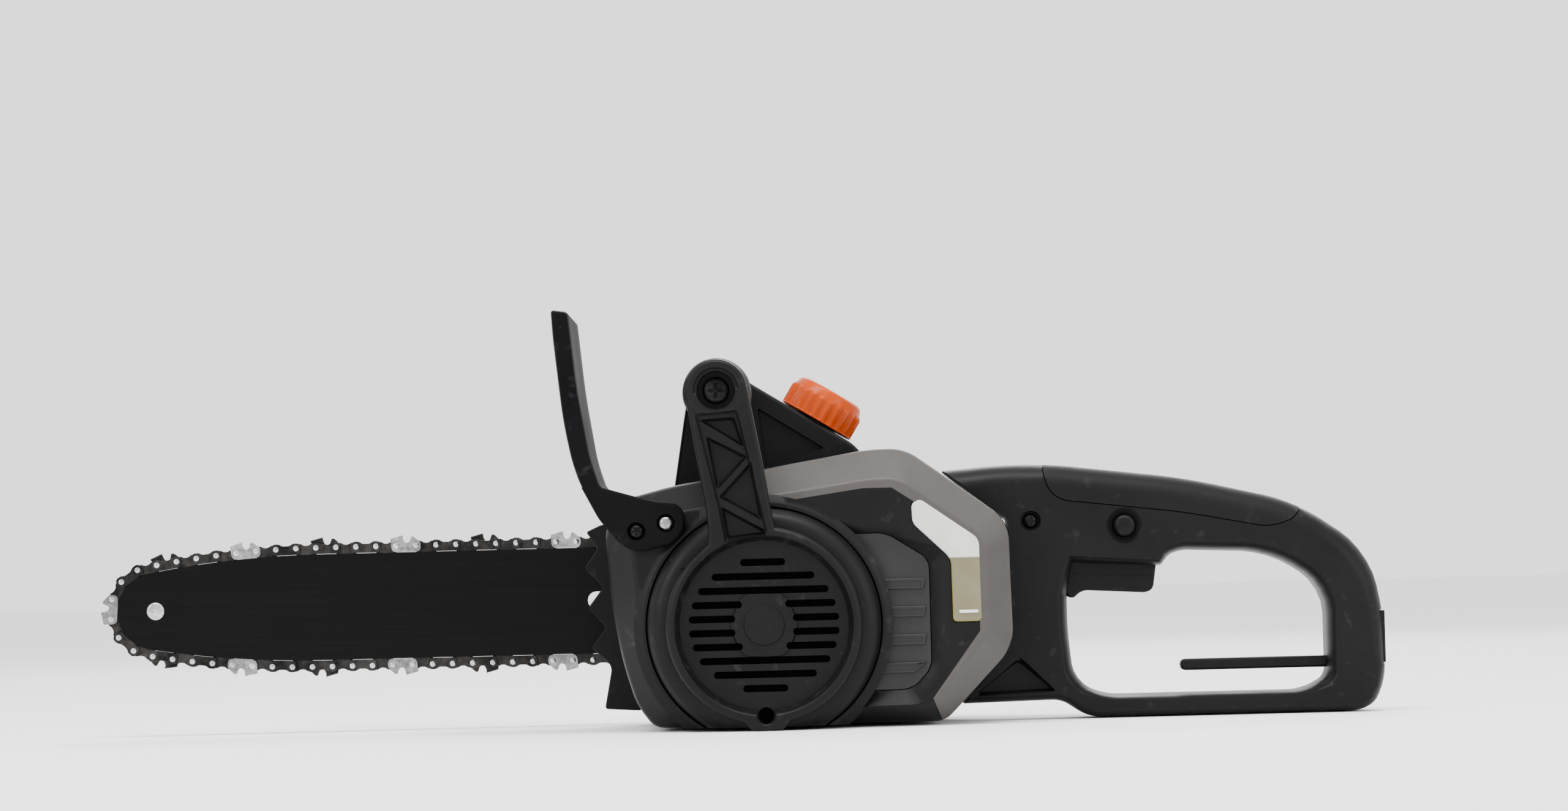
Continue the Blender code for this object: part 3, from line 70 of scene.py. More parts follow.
world = bpy.data.worlds.new("pale_room")
world.use_nodes = True
sky = world.node_tree.nodes["Background"].inputs
sky["Color"].default_value = (1.0, 1.0, 1.0, 1)
sky["Strength"].default_value = 1.9
bpy.context.scene.world = world

bpy.ops.mesh.primitive_circle_add(vertices=64, radius=14, fill_type="NGON", location=(0, 0, -0.0004))
floor = bpy.context.object
floor.name = "floor"
floor_paint = bpy.data.materials.new("floor_paint")
floor_paint.use_nodes = True
paint = floor_paint.node_tree.nodes["Principled BSDF"].inputs
paint["Base Color"].default_value = (0.9, 0.9, 0.9, 1)
paint["Roughness"].default_value = 0.7
floor.data.materials.append(floor_paint)

# Left body shell -----------------------------------------------------------------------------
# The motor side of the body is one injection moulding in black glass-filled nylon, 4 mm thick, with a
# fine spark-eroded grain. A wide shoulder slopes from its side wall up to a raised field, which has a
# round hole for the motor drum, a recess for the side panel and a pocket for the oil window.
MM = 0.001
MOTOR_X, MOTOR_Z = 15.0, 47.0
SEAM = 0.15  # half of the gap at the parting line between the two body shells
SIDE_Y, FIELD_Y = -50.0, -66.0
DRUM = 53.0  # radius of the motor cover
UNDERSIDE = [(-60, -20), (90, -20), (90, 1.2), (-60, 1.2)]  # all that lies below the flat base
BODY = [
    (-36, 1.2, 4), (-44, 12, 5), (-50, 32, 8), (-54.5, 58, 8), (-56.5, 92, 4), (-47.5, 105.5, 5),
    (-26, 111, 5), (64.3, 125.6, 6), (80.6, 125.6, 6), (127.3, 91.7, 8), (128.2, 34, 8), (96.3, 1.2, 4),
]
FIELD = [
    (-24, 8, 3), (-31, 15, 4), (-38, 35, 7), (-42, 57, 7), (-44, 88, 3), (-38, 96, 3),
    (-18.4, 99.2, 4), (64.1, 111, 5), (77.4, 111, 5), (115.8, 84, 7), (115.8, 40.8, 7), (88.8, 9, 4),
]


def mode(name):
    bpy.ops.object.mode_set(mode=name)


def only(piece):
    """Selects this piece alone."""
    bpy.ops.object.select_all(action="DESELECT")
    piece.select_set(True)
    bpy.context.view_layer.objects.active = piece
    return piece


def pick(piece, kind, wanted):
    """In edit mode, selects the vertices, edges or faces that are wanted."""
    bpy.ops.mesh.select_mode(type=kind)
    bpy.ops.mesh.select_all(action="DESELECT")
    mesh = bmesh.from_edit_mesh(piece.data)
    for item in {"VERT": mesh.verts, "EDGE": mesh.edges, "FACE": mesh.faces}[kind]:
        if wanted(item):
            item.select_set(True)
    mesh.select_flush_mode()
    bmesh.update_edit_mesh(piece.data)


def edge_at(y):
    """A test for edges that lie at depth y."""
    return lambda edge: all(abs(v.co.y - y * MM) < 1e-6 for v in edge.verts)


def polygon(name, points, fill):
    """A circle whose vertices are pulled to the points one by one. It stays in edit mode."""
    bpy.ops.object.select_all(action="DESELECT")
    bpy.ops.mesh.primitive_circle_add(vertices=len(points), radius=1, fill_type=fill)
    piece = bpy.context.object
    piece.name = piece.data.name = name
    mode("EDIT")
    bpy.ops.mesh.select_mode(type="VERT")
    for i, point in enumerate(points):
        bpy.ops.mesh.select_all(action="DESELECT")
        mesh = bmesh.from_edit_mesh(piece.data)
        mesh.verts.ensure_lookup_table()
        mesh.verts[i].select_set(True)
        bpy.ops.transform.translate(value=Vector([value * MM for value in point]) - mesh.verts[i].co)
    return piece


def closed():
    """Turns all faces outwards and leaves edit mode."""
    bpy.ops.mesh.select_all(action="SELECT")
    bpy.ops.mesh.normals_make_consistent(inside=False)
    mode("OBJECT")


def traced(name, corners, y, steps=4):
    """A flat face at depth y, through (x, z) corners that may give the reach of their rounding."""
    piece = polygon(name, [(corner[0], y, corner[1]) for corner in corners], "NGON")
    for x, z, reach in (corner for corner in corners if len(corner) == 3 and corner[2]):
        spot = Vector((x * MM, y * MM, z * MM))
        pick(piece, "VERT", lambda v: (v.co - spot).length < 1e-6)
        bpy.ops.mesh.bevel(offset=reach * MM, segments=steps, affect="VERTICES", clamp_overlap=False)
    mode("OBJECT")
    return piece


def soften(piece, wanted, width, steps=3):
    """Rounds the wanted edges."""
    only(piece)
    mode("EDIT")
    pick(piece, "EDGE", wanted)
    bpy.ops.mesh.bevel(offset=width * MM, segments=steps, affect="EDGES", clamp_overlap=False)
    mode("OBJECT")


def plate(name, corners, near, far, rim=0.0, far_rim=0.0, steps=4, rim_steps=3):
    """A traced face extruded from depth near to depth far, with its rims rounded."""
    piece = traced(name, corners, near, steps)
    mode("EDIT")
    bpy.ops.mesh.select_all(action="SELECT")
    bpy.ops.mesh.extrude_region_move(TRANSFORM_OT_translate={"value": (0, (far - near) * MM, 0)})
    closed()
    for y, width in ((near, rim), (far, far_rim)):
        if width:
            soften(piece, edge_at(y), width, rim_steps)
    return piece


def gathered(name, parts):
    """The parts joined into one object."""
    bpy.ops.object.select_all(action="DESELECT")
    for part in parts:
        part.select_set(True)
    bpy.context.view_layer.objects.active = parts[0]
    bpy.ops.object.join()
    parts[0].name = parts[0].data.name = name
    return parts[0]


def loft(name, sections, steps=4):
    """A closed body through (corners, y) sections that have like corners."""
    piece = gathered(name, [traced(name, corners, y, steps) for corners, y in sections])
    mode("EDIT")
    bpy.ops.mesh.select_all(action="SELECT")
    bpy.ops.mesh.delete(type="ONLY_FACE")
    depths = [y for _, y in sections]
    for near, far in zip(depths, depths[1:]):
        pick(piece, "EDGE", lambda e: edge_at(near)(e) or edge_at(far)(e))
        bpy.ops.mesh.bridge_edge_loops()
    for end in (depths[0], depths[-1]):
        pick(piece, "EDGE", edge_at(end))
        bpy.ops.mesh.edge_face_add()
    closed()
    return piece


def spun(name, profile, x, z, steps=64):
    """A closed profile of (radius, y) points spun about the line through (x, z)."""
    piece = polygon(name, [(x + radius, y, z) for radius, y in profile], "NOTHING")
    pick(piece, "EDGE", lambda e: all(abs(v.co.x - x * MM) < 1e-7 for v in e.verts))
    bpy.ops.mesh.delete(type="EDGE")
    bpy.ops.mesh.select_all(action="SELECT")
    bpy.ops.mesh.spin(steps=steps, angle=2 * math.pi, center=(x * MM, 0, z * MM), axis=(0, 1, 0))
    bpy.ops.mesh.select_all(action="SELECT")
    bpy.ops.mesh.remove_doubles(threshold=2e-6)
    closed()
    return piece


def carve(piece, tool, how="DIFFERENCE"):
    """Cuts the tool from the piece, joins it on or keeps what they share."""
    only(piece)
    step = piece.modifiers.new(how.lower(), "BOOLEAN")
    step.operation = how
    step.object = tool
    bpy.ops.object.modifier_apply(modifier=step.name)
    bpy.data.objects.remove(tool)
    return piece


def drill(piece, radius, near, far, x, z, steps):
    """Cuts a round hole through (x, z) from depth near to depth far."""
    return carve(piece, spun("drill", [(0, near), (radius, near), (radius, far), (0, far)], x, z, steps))


def twin(piece):
    """A separate copy of the piece."""
    copy = piece.copy()
    copy.data = piece.data.copy()
    bpy.context.collection.objects.link(copy)
    return copy


def grown(corners, distance):
    """The corners moved outwards by distance, or inwards by a negative one."""
    points = [Vector(corner[:2]) for corner in corners]
    area = sum(a.x * b.y - b.x * a.y for a, b in zip(points, points[1:] + points[:1]))
    side = -1 if area > 0 else 1
    moved = []
    for i, here in enumerate(points):
        before = (here - points[i - 1]).normalized()
        after = (points[(i + 1) % len(points)] - here).normalized()
        normals = [Vector((-d.y, d.x)) * side for d in (before, after)]
        middle = (normals[0] + normals[1]).normalized()
        place = here + middle * distance / max(middle.dot(normals[0]), 0.5)
        moved.append((place.x, place.y, *corners[i][2:]))
    return moved


def feed(tree, socket, value):
    """Links another node's output to the socket, or sets a plain value there."""
    if isinstance(value, bpy.types.NodeSocket):
        tree.links.new(value, socket)
    else:
        socket.default_value = value


def add(tree, kind, **inputs):
    """A shader node with its sockets fed by name; words in small letters are its settings."""
    made = tree.nodes.new(kind)
    for key, value in inputs.items():
        if key[0].islower():
            setattr(made, key, value)
        else:
            feed(tree, made.inputs[key.replace("_", " ")], value)
    return made.outputs


def noise(tree, where, scale, detail, roughness=0.5):
    """Noise of the given scale, from 0 to 1."""
    return add(tree, "ShaderNodeTexNoise", Vector=where, Scale=scale, Detail=detail,
               Roughness=roughness)["Fac"]


def worked_out(tree, operation, first, second):
    """The sum or product of two values."""
    node = add(tree, "ShaderNodeMath", operation=operation)["Value"].node
    feed(tree, node.inputs[0], first)
    feed(tree, node.inputs[1], second)
    return node.outputs[0]


def mixed(tree, share, under, over):
    """A colour laid over another one by the share."""
    node = add(tree, "ShaderNodeMix", data_type="RGBA")["Result"].node
    feed(tree, node.inputs["Factor"], share)
    feed(tree, node.inputs[6], under)
    feed(tree, node.inputs[7], over)
    return node.outputs[2]


def shaded(name, roughness, metallic=0.0, index=1.5):
    """A new material, its node tree and its shader."""
    material = bpy.data.materials.new(name)
    material.use_nodes = True
    shader = material.node_tree.nodes["Principled BSDF"]
    shader.inputs["Roughness"].default_value = roughness
    shader.inputs["Metallic"].default_value = metallic
    shader.inputs["IOR"].default_value = index
    return material, material.node_tree, shader


def between(tree, factor, low, high):
    """A colour that runs from low to high with the factor."""
    ramp = add(tree, "ShaderNodeValToRGB", Fac=factor)
    band = ramp["Color"].node.color_ramp
    for stop, (place, colour) in zip(band.elements, (low, high)):
        stop.position = place
        stop.color = (*colour, 1)
    return ramp["Color"]


def surfaced(tree, shader, patches, smooth, rough, height, strength, depth):
    """Gives the shader a gloss that varies with the patches and a relief from the height."""
    gloss = add(tree, "ShaderNodeMapRange", Value=patches, From_Min=0.3, From_Max=0.7, To_Min=smooth,
                To_Max=rough)
    feed(tree, shader.inputs["Roughness"], gloss["Result"])
    relief = add(tree, "ShaderNodeBump", Height=height, Strength=strength, Distance=depth)
    feed(tree, shader.inputs["Normal"], relief["Normal"])


def moulded(name, dark, light, smooth, rough, grain=2600, depth=0.00005, worn=(0.03, 0.03, 0.032),
            index=1.2):
    """A moulding with spark-eroded grain, cloudy gloss and patchy rubbed edges."""
    material, tree, shader = shaded(name, rough, 0.0, index)
    here = add(tree, "ShaderNodeTexCoord")["Object"]
    clouds = noise(tree, here, 28.0, 5.0, 0.6)
    tone = between(tree, clouds, (0.32, dark), (0.68, light))
    edges = add(tree, "ShaderNodeNewGeometry")["Pointiness"]
    patchy = noise(tree, here, 160.0, 3.0)
    rubbed = worked_out(tree, "ADD", edges, patchy)
    share = add(tree, "ShaderNodeMapRange", Value=rubbed, From_Min=1.16, From_Max=1.34, To_Max=0.4)
    feed(tree, shader.inputs["Base Color"], mixed(tree, share["Result"], tone, (*worn, 1)))
    grains = noise(tree, here, float(grain), 2.0)
    surfaced(tree, shader, clouds, smooth, rough, grains, 0.35, depth)
    return material


def finish(piece, body, slot, *materials, replaces=(), angle=38):
    """Smooths a piece, gives it its materials and hands it to the frame."""
    only(piece)
    bpy.ops.object.transform_apply(location=True, rotation=True, scale=True)
    mode("EDIT")
    bpy.ops.mesh.select_all(action="SELECT")
    bpy.ops.mesh.dissolve_degenerate(threshold=2e-5)
    mode("OBJECT")
    bpy.ops.object.shade_smooth_by_angle(angle=math.radians(angle))
    even = piece.modifiers.new("even_faces", "WEIGHTED_NORMAL")
    even.keep_sharp = True
    bpy.ops.object.modifier_apply(modifier=even.name)
    if not any(piece.data.materials):
        piece.data.materials.clear()
        for material in materials:
            piece.data.materials.append(material)
    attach(piece, body)
    if replaces:
        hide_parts(*replaces)
    return piece


black_nylon = moulded("black_nylon", (0.0032, 0.0032, 0.0036), (0.0052, 0.0052, 0.0056), 0.36, 0.48)
RECESS = [
    (40, 92.6, 0), (62.2, 95.2, 2), (72.7, 95.2, 4), (98.3, 78.8, 4), (98.3, 22.8, 4), (85, 8.6, 4),
    (40, 7.6, 0),
]
PANEL = [
    (40, 86.6, 0), (58, 87.4, 2), (70.9, 87.6, 4), (90.5, 75, 4), (90.5, 25.6, 4), (81.3, 16.1, 4),
    (40, 15.4, 0),
]
WINDOW = [
    (82.6, 100.2, 2), (86.6, 102.6, 2), (113.2, 83.8, 3), (113.6, 46.2, 2), (100.2, 46.2, 2),
    (99.9, 75, 3), (83, 91.2, 2),
]

left_shell = loft("left_shell", [(BODY, -SEAM), (BODY, SIDE_Y), (FIELD, FIELD_Y)])
soften(left_shell, edge_at(SIDE_Y), 2.5)
soften(left_shell, edge_at(FIELD_Y), 1.6)
blank = twin(left_shell)
carve(left_shell, spun("drum_collar", [
    (DRUM - 3, -60), (DRUM - 3, -68.0), (DRUM + 1.4, -68.4), (DRUM + 2.6, -68.0), (DRUM + 6, -65.8),
    (DRUM + 6, -60),
], MOTOR_X, MOTOR_Z, 128), "UNION")
carve(left_shell, plate("under_floor", UNDERSIDE, -90, -40))
carve(left_shell, loft("left_room", [(grown(BODY, -4), 1), (grown(BODY, -4), -46), (grown(FIELD, -4), -57)]))
carve(left_shell, spun("drum_hole", [(0, -80), (DRUM + 0.6, -80), (DRUM + 0.6, -67), (DRUM + 0.3, -66.4),
                                     (DRUM + 0.3, -40), (0, -40)], MOTOR_X, MOTOR_Z, 128))
carve(left_shell, loft("panel_recess", [(RECESS, -66.4), (PANEL, -61), (PANEL, -50)]))
carve(left_shell, plate("window_pocket", grown(WINDOW, 0.3), -68, -62.6))
finish(left_shell, "root", "black_plastic", black_nylon, replaces=["left_housing"])

# Shoulder trim -------------------------------------------------------------------------------
# A satin warm-grey band is laid over the shoulder, from behind the front handle over the top and down
# the rear edge. It is a separate moulding about 2 mm thick, and stands slightly proud of the shell.
BAND = [
    (-9, 124), (-7, 112), (-2, 98.9), (61, 107.6), (74, 107.6), (112.4, 82.2), (112.4, 42), (90.4, 12),
    (97, -3), (140, 30), (140, 96), (83, 136), (60, 134),
]
grey_nylon = moulded("grey_nylon", (0.05, 0.0455, 0.0425), (0.06, 0.055, 0.0515), 0.36, 0.48, 2200, 0.00003,
                     (0.08, 0.075, 0.07), 1.25)
only(blank)
mode("EDIT")
bpy.ops.mesh.select_all(action="SELECT")
bpy.ops.transform.shrink_fatten(value=0.35 * MM)
mode("OBJECT")
side_trim = carve(blank, plate("band_region", BAND, -66.1, -50.6), "INTERSECT")
side_trim.name = side_trim.data.name = "side_trim_visual"
carve(side_trim, loft("under_band", [
    (grown(BODY, -2.2), -49), (grown(BODY, -2.2), -50.3), (grown(FIELD, -2.2), -66.0),
]))
finish(side_trim, "root", "grey_trim", grey_nylon, replaces=["side_trim"])

# Side panel ----------------------------------------------------------------------------------
# A flat black moulding closes the recess behind the drum. Five low bars with slanted ends stand on it,
# each with a sunk field inside a narrow rim.
panel_nylon = moulded("panel_nylon", (0.012, 0.012, 0.0125), (0.016, 0.016, 0.0168), 0.4, 0.52, index=1.3)
side_panel = plate("side_panel_visual", grown(PANEL, -0.3), -61, -58.8, 0.3)
for i in range(5):
    top = 79.2 - 12.65 * i
    left = [MOTOR_X + math.sqrt((DRUM + 2) ** 2 - (z - MOTOR_Z) ** 2) for z in (top, top - 5)]
    right = {0: (82.4, 88.4), 4: (88.4, 82.4)}.get(i, (88.4, 87.4))
    bar = [(left[0], top, 0.6), (right[0], top, 0.6), (right[1], top - 5, 0.6), (left[1], top - 5, 0.6)]
    rib = plate(f"panel_bar_{i}", bar, -62.2, -60, 0.5, steps=2)
    carve(rib, plate("sunk_field", grown(bar, -1.3), -63, -61.75, steps=2))
    carve(side_panel, rib, "UNION")
drill(side_panel, DRUM + 0.6, -70, -50, MOTOR_X, MOTOR_Z, 128)
finish(side_panel, "root", "black_plastic", panel_nylon, replaces=["side_panel"])

# Oil window ----------------------------------------------------------------------------------
# A cloudy natural polyethylene window shows the chain oil, which stands at three quarters of its
# height. A raised white line marks the lowest level, and the rim of the window is a little yellower.
OIL_LEVEL = 0.0754  # metres above the floor
oil_window = plate("oil_window_visual", WINDOW, FIELD_Y - 0.3, -63, 0.9)


def resin(name, thin, thick):
    """Cloudy resin with oil of the given tones behind it up to the level."""
    material, tree, shader = shaded(name, 0.28, 0.0, 1.35)
    here = add(tree, "ShaderNodeTexCoord")["Object"]
    height = add(tree, "ShaderNodeSeparateXYZ", Vector=here)["Z"]
    dry = add(tree, "ShaderNodeMapRange", Value=height, From_Min=OIL_LEVEL - 0.0004,
              From_Max=OIL_LEVEL + 0.0004)
    cloud = noise(tree, here, 60.0, 4.0)
    oil = between(tree, cloud, (0.3, thin), (0.7, thick))
    clear = between(tree, cloud, (0.3, (0.5, 0.5, 0.48)), (0.7, (0.62, 0.62, 0.6)))
    feed(tree, shader.inputs["Base Color"], mixed(tree, dry["Result"], oil, clear))
    shader.inputs["Subsurface Weight"].default_value = 0.15
    shader.inputs["Subsurface Radius"].default_value = (0.003, 0.0025, 0.0015)
    shader.inputs["Subsurface Scale"].default_value = 1.0
    return material


window_resin = resin("window_resin", (0.125, 0.113, 0.062), (0.165, 0.15, 0.095))
oil_window.data.materials.append(window_resin)
oil_window.data.materials.append(resin("window_rim_resin", (0.13, 0.115, 0.02), (0.17, 0.15, 0.035)))
for face in oil_window.data.polygons:
    face.material_index = 0 if face.normal.y < -0.95 else 1
finish(oil_window, "root", "oil_window", replaces=["oil_window"])
mark = plate("level_mark", [(103.2, 50.2, 0.4), (111.8, 50.2, 0.4), (111.8, 51.6, 0.4), (103.2, 51.6, 0.4)],
             FIELD_Y - 0.75, -65.5, 0.2, steps=2)
white_ink = moulded("white_ink", (0.6, 0.6, 0.58), (0.72, 0.72, 0.7), 0.4, 0.5, 2600, 0.00002,
                    (0.8, 0.8, 0.78), 1.3)
finish(mark, "root", "oil_window", white_ink)

# Motor cover ---------------------------------------------------------------------------------
# The drum over the end of the motor is one black moulding. Its broad shoulder runs into a flat grille
# whose slots let the cooling air in, round a raised hub with a shallow disc on it. A near-black sheet
# behind the slots is painted shade, standing for the dark inside of the motor.
LUG_X, LUG_Z = 15, 6.6
drum = spun("motor_cover_visual", [
    (0, -77.3), (8.3, -77.3), (8.9, -77.0), (9.2, -76.5), (10.2, -76.2), (14.2, -76.2), (15, -75.2),
    (35, -75.2), (36, -75.7), (44, -75.7), (46.6, -75.4), (49.2, -74.3), (51.2, -72.4), (52.5, -70),
    (53, -67), (53, -48.6), (50, -48.6), (50, -67.5), (48, -71), (44, -72.2), (0, -72.2),
], MOTOR_X, MOTOR_Z, 144)
hub = plate("grille_hub", [
    (MOTOR_X + 15.8, MOTOR_Z, 3), (MOTOR_X + 9.6, MOTOR_Z + 14.1, 3), (MOTOR_X - 9.6, MOTOR_Z + 14.1, 3),
    (MOTOR_X - 15.8, MOTOR_Z, 3), (MOTOR_X - 9.6, MOTOR_Z - 14.1, 3), (MOTOR_X + 9.6, MOTOR_Z - 14.1, 3),
], -76.4, -74, 0.6)
carve(drum, hub, "UNION")
slots = []
for row, (reach, gap) in enumerate(((33.8, 13.0), (32.3, 9.8), (29.3, 0), (23.1, 0), (10.1, 0))):
    for way in (-1, 1):
        z = MOTOR_Z + way * (3.15 + 6.3 * row)
        spans = ((-reach, -gap), (gap, reach)) if gap else ((-reach, reach),)
        for low, high in spans:
            slots.append(plate("slot", [
                (MOTOR_X + low, z - 1.6, 1.5), (MOTOR_X + high, z - 1.6, 1.5),
                (MOTOR_X + high, z + 1.6, 1.5), (MOTOR_X + low, z + 1.6, 1.5),
            ], -80, -70))
carve(drum, gathered("slots", slots))
drill(drum, 3.6, -80, -66, LUG_X, LUG_Z, 32)
carve(drum, plate("under_floor", UNDERSIDE, -90, -40))
finish(drum, "root", "black_plastic", black_nylon, replaces=["motor_cover"], angle=32)
# Painted shade: a near-black sheet that barely reflects lies just behind the slots and darkens what shows
# through them.
shade_sheet = spun("painted_shade_sheet", [(0, -72.1), (43, -72.1), (43.4, -71.9), (43, -71.7), (0, -71.7)],
              MOTOR_X, MOTOR_Z, 72)
# The near-black, matt, almost unreflecting material of that painted-shade sheet.
painted_shade_black = moulded("painted_shade_black", (0.001, 0.001, 0.001), (0.002, 0.002, 0.002), 0.8, 0.95, 3000, 0.0001,
                       (0, 0, 0), 1.05)
finish(shade_sheet, "root", "black_plastic", painted_shade_black)

# Front handle strut --------------------------------------------------------------------------
# The front handle is bolted to this one-piece truss. Two rounded rails run down from the boss of the
# grip to a ring round the grille, with thin diagonals between them and deep pockets with smooth floors.
STRUT = [
    (-18.1, 152, 0), (-8.6, 92, 8), (-9.5, 84, 6), (-22, 73, 0), (38, 76, 0), (24, 84, 6), (20.2, 93, 8),
    (16.8, 117.3, 10), (9.9, 155, 0),
]
GRIP_X, GRIP_Z = -4.1, 153.0
strut = plate("front_handle_strut_visual", STRUT, -83.2, -76.4, 2.2, 1.0)
ring = spun("strut_ring", [
    (44.3, -76), (44.3, -80.6), (43.9, -82.2), (42.7, -83.3), (41.2, -83.6), (40.6, -83.5), (39.6, -82.4),
    (38, -76),
], MOTOR_X, MOTOR_Z, 144)
drill(strut, 41, -90, -70, MOTOR_X, MOTOR_Z, 96)
carve(strut, ring, "UNION")
boss = spun("strut_boss", [
    (0, -72), (14.1, -72), (14.1, -81.6), (13.6, -83.1), (12.4, -83.9), (11, -83.9), (10.2, -83.2),
    (9.6, -82.2), (0, -82.2),
], GRIP_X, GRIP_Z, 72)
carve(strut, boss, "UNION")
lug = plate("strut_lug", [
    (4.6, 4.4, 1), (8.4, 0.1, 1.2), (22.5, 0.1, 1.2), (25.8, 4.4, 1), (28, 9, 0), (2, 9, 0),
], -83.2, -76.4, 1.2, 0.4)
drill(lug, 41.4, -90, -70, MOTOR_X, MOTOR_Z, 96)
carve(strut, lug, "UNION")
carve(strut, spun("lug_hole", [(0, -90), (4.6, -90), (4.6, -83), (4, -82.4), (4, -70), (0, -70)],
                  LUG_X, LUG_Z, 32))
POCKETS = (
    [(-11.2, 139.6, 1.2), (3.6, 140.4, 1.2), (7.6, 127.6, 1.4)],
    [(-8.6, 131.9, 1.2), (8.9, 122.6, 1.2), (-4.6, 108.6, 1.2)],
    [(10.6, 119.6, 1.2), (14.9, 94.6, 1.2), (-3.3, 105.0, 1.2)],
    [(-2.6, 100.0, 1), (16.0, 89.6, 1), (15.9, 88.0, 0.5), (-0.4, 86.4, 1)],
)
FIELD_BETWEEN = [(-12.6, 141.4, 1), (4.6, 142.6, 1), (16.4, 89.4, 1), (-0.8, 85.6, 1), (-3.4, 101, 2)]
carve(strut, loft("rib_level", [
    (grown(FIELD_BETWEEN, 1.3), -84), (grown(FIELD_BETWEEN, 1.0), -83.1), (FIELD_BETWEEN, -81.6),
]))
for corners in POCKETS:
    carve(strut, loft("pocket", [(grown(corners, 0.9), -84), (grown(corners, 0.5), -81.5), (corners, -80.9),
                                 (grown(corners, -0.3), -78.6), (grown(corners, -0.9), -77.8)]))
carve(strut, spun("bolt_bore", [(0, -90), (8.9, -90), (8.9, -82.6), (8.4, -81.8), (8.4, -75), (3.4, -75),
                                (3.4, -70), (0, -70)], GRIP_X, GRIP_Z, 64))
finish(strut, "root", "black_plastic", black_nylon, replaces=["front_handle_strut"], angle=42)

# Front handle grip ---------------------------------------------------------------------------
# A soft overmoulded tube with five grooves crosses from the strut's boss to the tower. A long steel
# bolt with a cross recess passes through it.
rubber = moulded("rubber", (0.0036, 0.0036, 0.0038), (0.0056, 0.0056, 0.006), 0.5, 0.66, 1800, 0.00008)
edge = [(3.3, -71.7), (12.4, -71.7), (13.2, -71.0), (15.0, -66.5), (15.4, -60)]
for y in (-50, -42, -34, -26, -18):
    edge += [(15.7, y - 1.6), (14.9, y - 0.9), (14.9, y + 0.9), (15.7, y + 1.6)]
edge += [(15.2, -5), (13.4, 0.9), (12.6, 1.7), (3.3, 1.7)]
grip = spun("front_handle_grip_visual", edge, GRIP_X, GRIP_Z, 72)
finish(grip, "root", "black_rubber", rubber, replaces=["front_handle_grip"])


def metal(name, dark, light, smooth, rough, grain=(900, 60, 900), depth=0.00002, metallic=1.0):
    """Metal with fine directional marks, stained patches and uneven gloss."""
    material, tree, shader = shaded(name, rough, metallic)
    here = add(tree, "ShaderNodeTexCoord")["Object"]
    along = add(tree, "ShaderNodeMapping", Vector=here, Scale=grain)["Vector"]
    marks = noise(tree, along, 1.0, 4.0, 0.65)
    stains = noise(tree, here, 70.0, 5.0)
    both = worked_out(tree, "MULTIPLY", marks, stains)
    feed(tree, shader.inputs["Base Color"], between(tree, both, (0.15, dark), (0.38, light)))
    surfaced(tree, shader, marks, smooth, rough, marks, 0.3, depth)
    return material


def cross_recess(piece, x, z, y, reach, depth):
    """Cuts a Phillips recess into a screw head whose top is at y."""
    for long, high in ((reach, reach * 0.24), (reach * 0.24, reach)):
        corners = [(x - long, z - high), (x + long, z - high), (x + long, z + high), (x - long, z + high)]
        carve(piece, loft("recess", [(corners, y - 1), (grown(corners, -reach * 0.08), y + depth)], 1))


zinc = metal("zinc", (0.16, 0.16, 0.165), (0.38, 0.38, 0.39), 0.2, 0.4)
blued = metal("blued", (0.008, 0.008, 0.009), (0.024, 0.023, 0.022), 0.3, 0.5)
bolt = spun("front_handle_bolt_visual", [
    (0, -79.3), (4.2, -79.3), (5.5, -78.6), (6, -77.4), (6, -75.3), (3, -75.3), (3, 24), (0, 24),
], GRIP_X, GRIP_Z, 48)
cross_recess(bolt, GRIP_X, GRIP_Z, -79.3, 3.4, 1.8)
finish(bolt, "root", "steel", blued, replaces=["front_handle_bolt"])

# Hand guard ----------------------------------------------------------------------------------
# The guard in front of the grip is a tall curved plate moulded in one with the rounded flange that
# holds it. Two screws with cross recesses sit in tapered seats in the flange.
GUARD = [
    (-78, 191.6, 1.5), (-77.4, 179.5, 5), (-73.6, 141.5, 8), (-69.6, 121, 6), (-65.5, 110.2, 4),
    (-58.8, 98.8, 1), (-56.6, 96.4, 0), (-49.6, 107.2, 1), (-57.8, 111.3, 3), (-62, 124.5, 5),
    (-66.9, 155.8, 8), (-70.2, 190.5, 1.5),
]
FLANGE = [
    (-66, 111, 0), (-58.5, 96.6, 2), (-47.8, 83.3, 4), (-40, 81.2, 3.5), (-24, 84.8, 4), (-18.9, 93, 4),
    (-21, 102.6, 4.5), (-34.5, 104.2, 4), (-57.4, 111, 0),
]
SCREWS = {"guard_screw_front": (-41.6, 90.6), "guard_screw_rear": (-28.3, 94.0)}
guard = loft("hand_guard_visual", [
    (grown(GUARD, -1.6), -72), (grown(GUARD, -0.5), -71.3), (GUARD, -69.6), (GUARD, 24.6),
    (grown(GUARD, -0.5), 26.3), (grown(GUARD, -1.6), 27),
])
flange = plate("guard_flange", FLANGE, -71.85, -66.4, 1.4, 0.3)
for x, z in SCREWS.values():
    carve(flange, spun("screw_seat", [(0, -75), (5.3, -75), (3.9, -70.9), (3.9, -69), (0, -69)], x, z, 40))
carve(guard, flange, "UNION")
guard_nylon = moulded("guard_nylon", (0.0026, 0.0026, 0.003), (0.0042, 0.0042, 0.0046), 0.5, 0.62, index=1.1)
finish(guard, "root", "black_plastic", guard_nylon, replaces=["hand_guard"], angle=40)
for name, (x, z) in SCREWS.items():
    screw = spun(f"{name}_visual", [
        (0, -72.0), (1.8, -71.9), (2.9, -71.3), (3.3, -70.4), (3.3, -69.4), (1.7, -69.4), (1.7, -54),
        (0, -54),
    ], x, z, 40)
    cross_recess(screw, x, z, -72, 1.9, 1.2)
    finish(screw, "root", "steel", zinc if name.endswith("rear") else blued, replaces=[name])

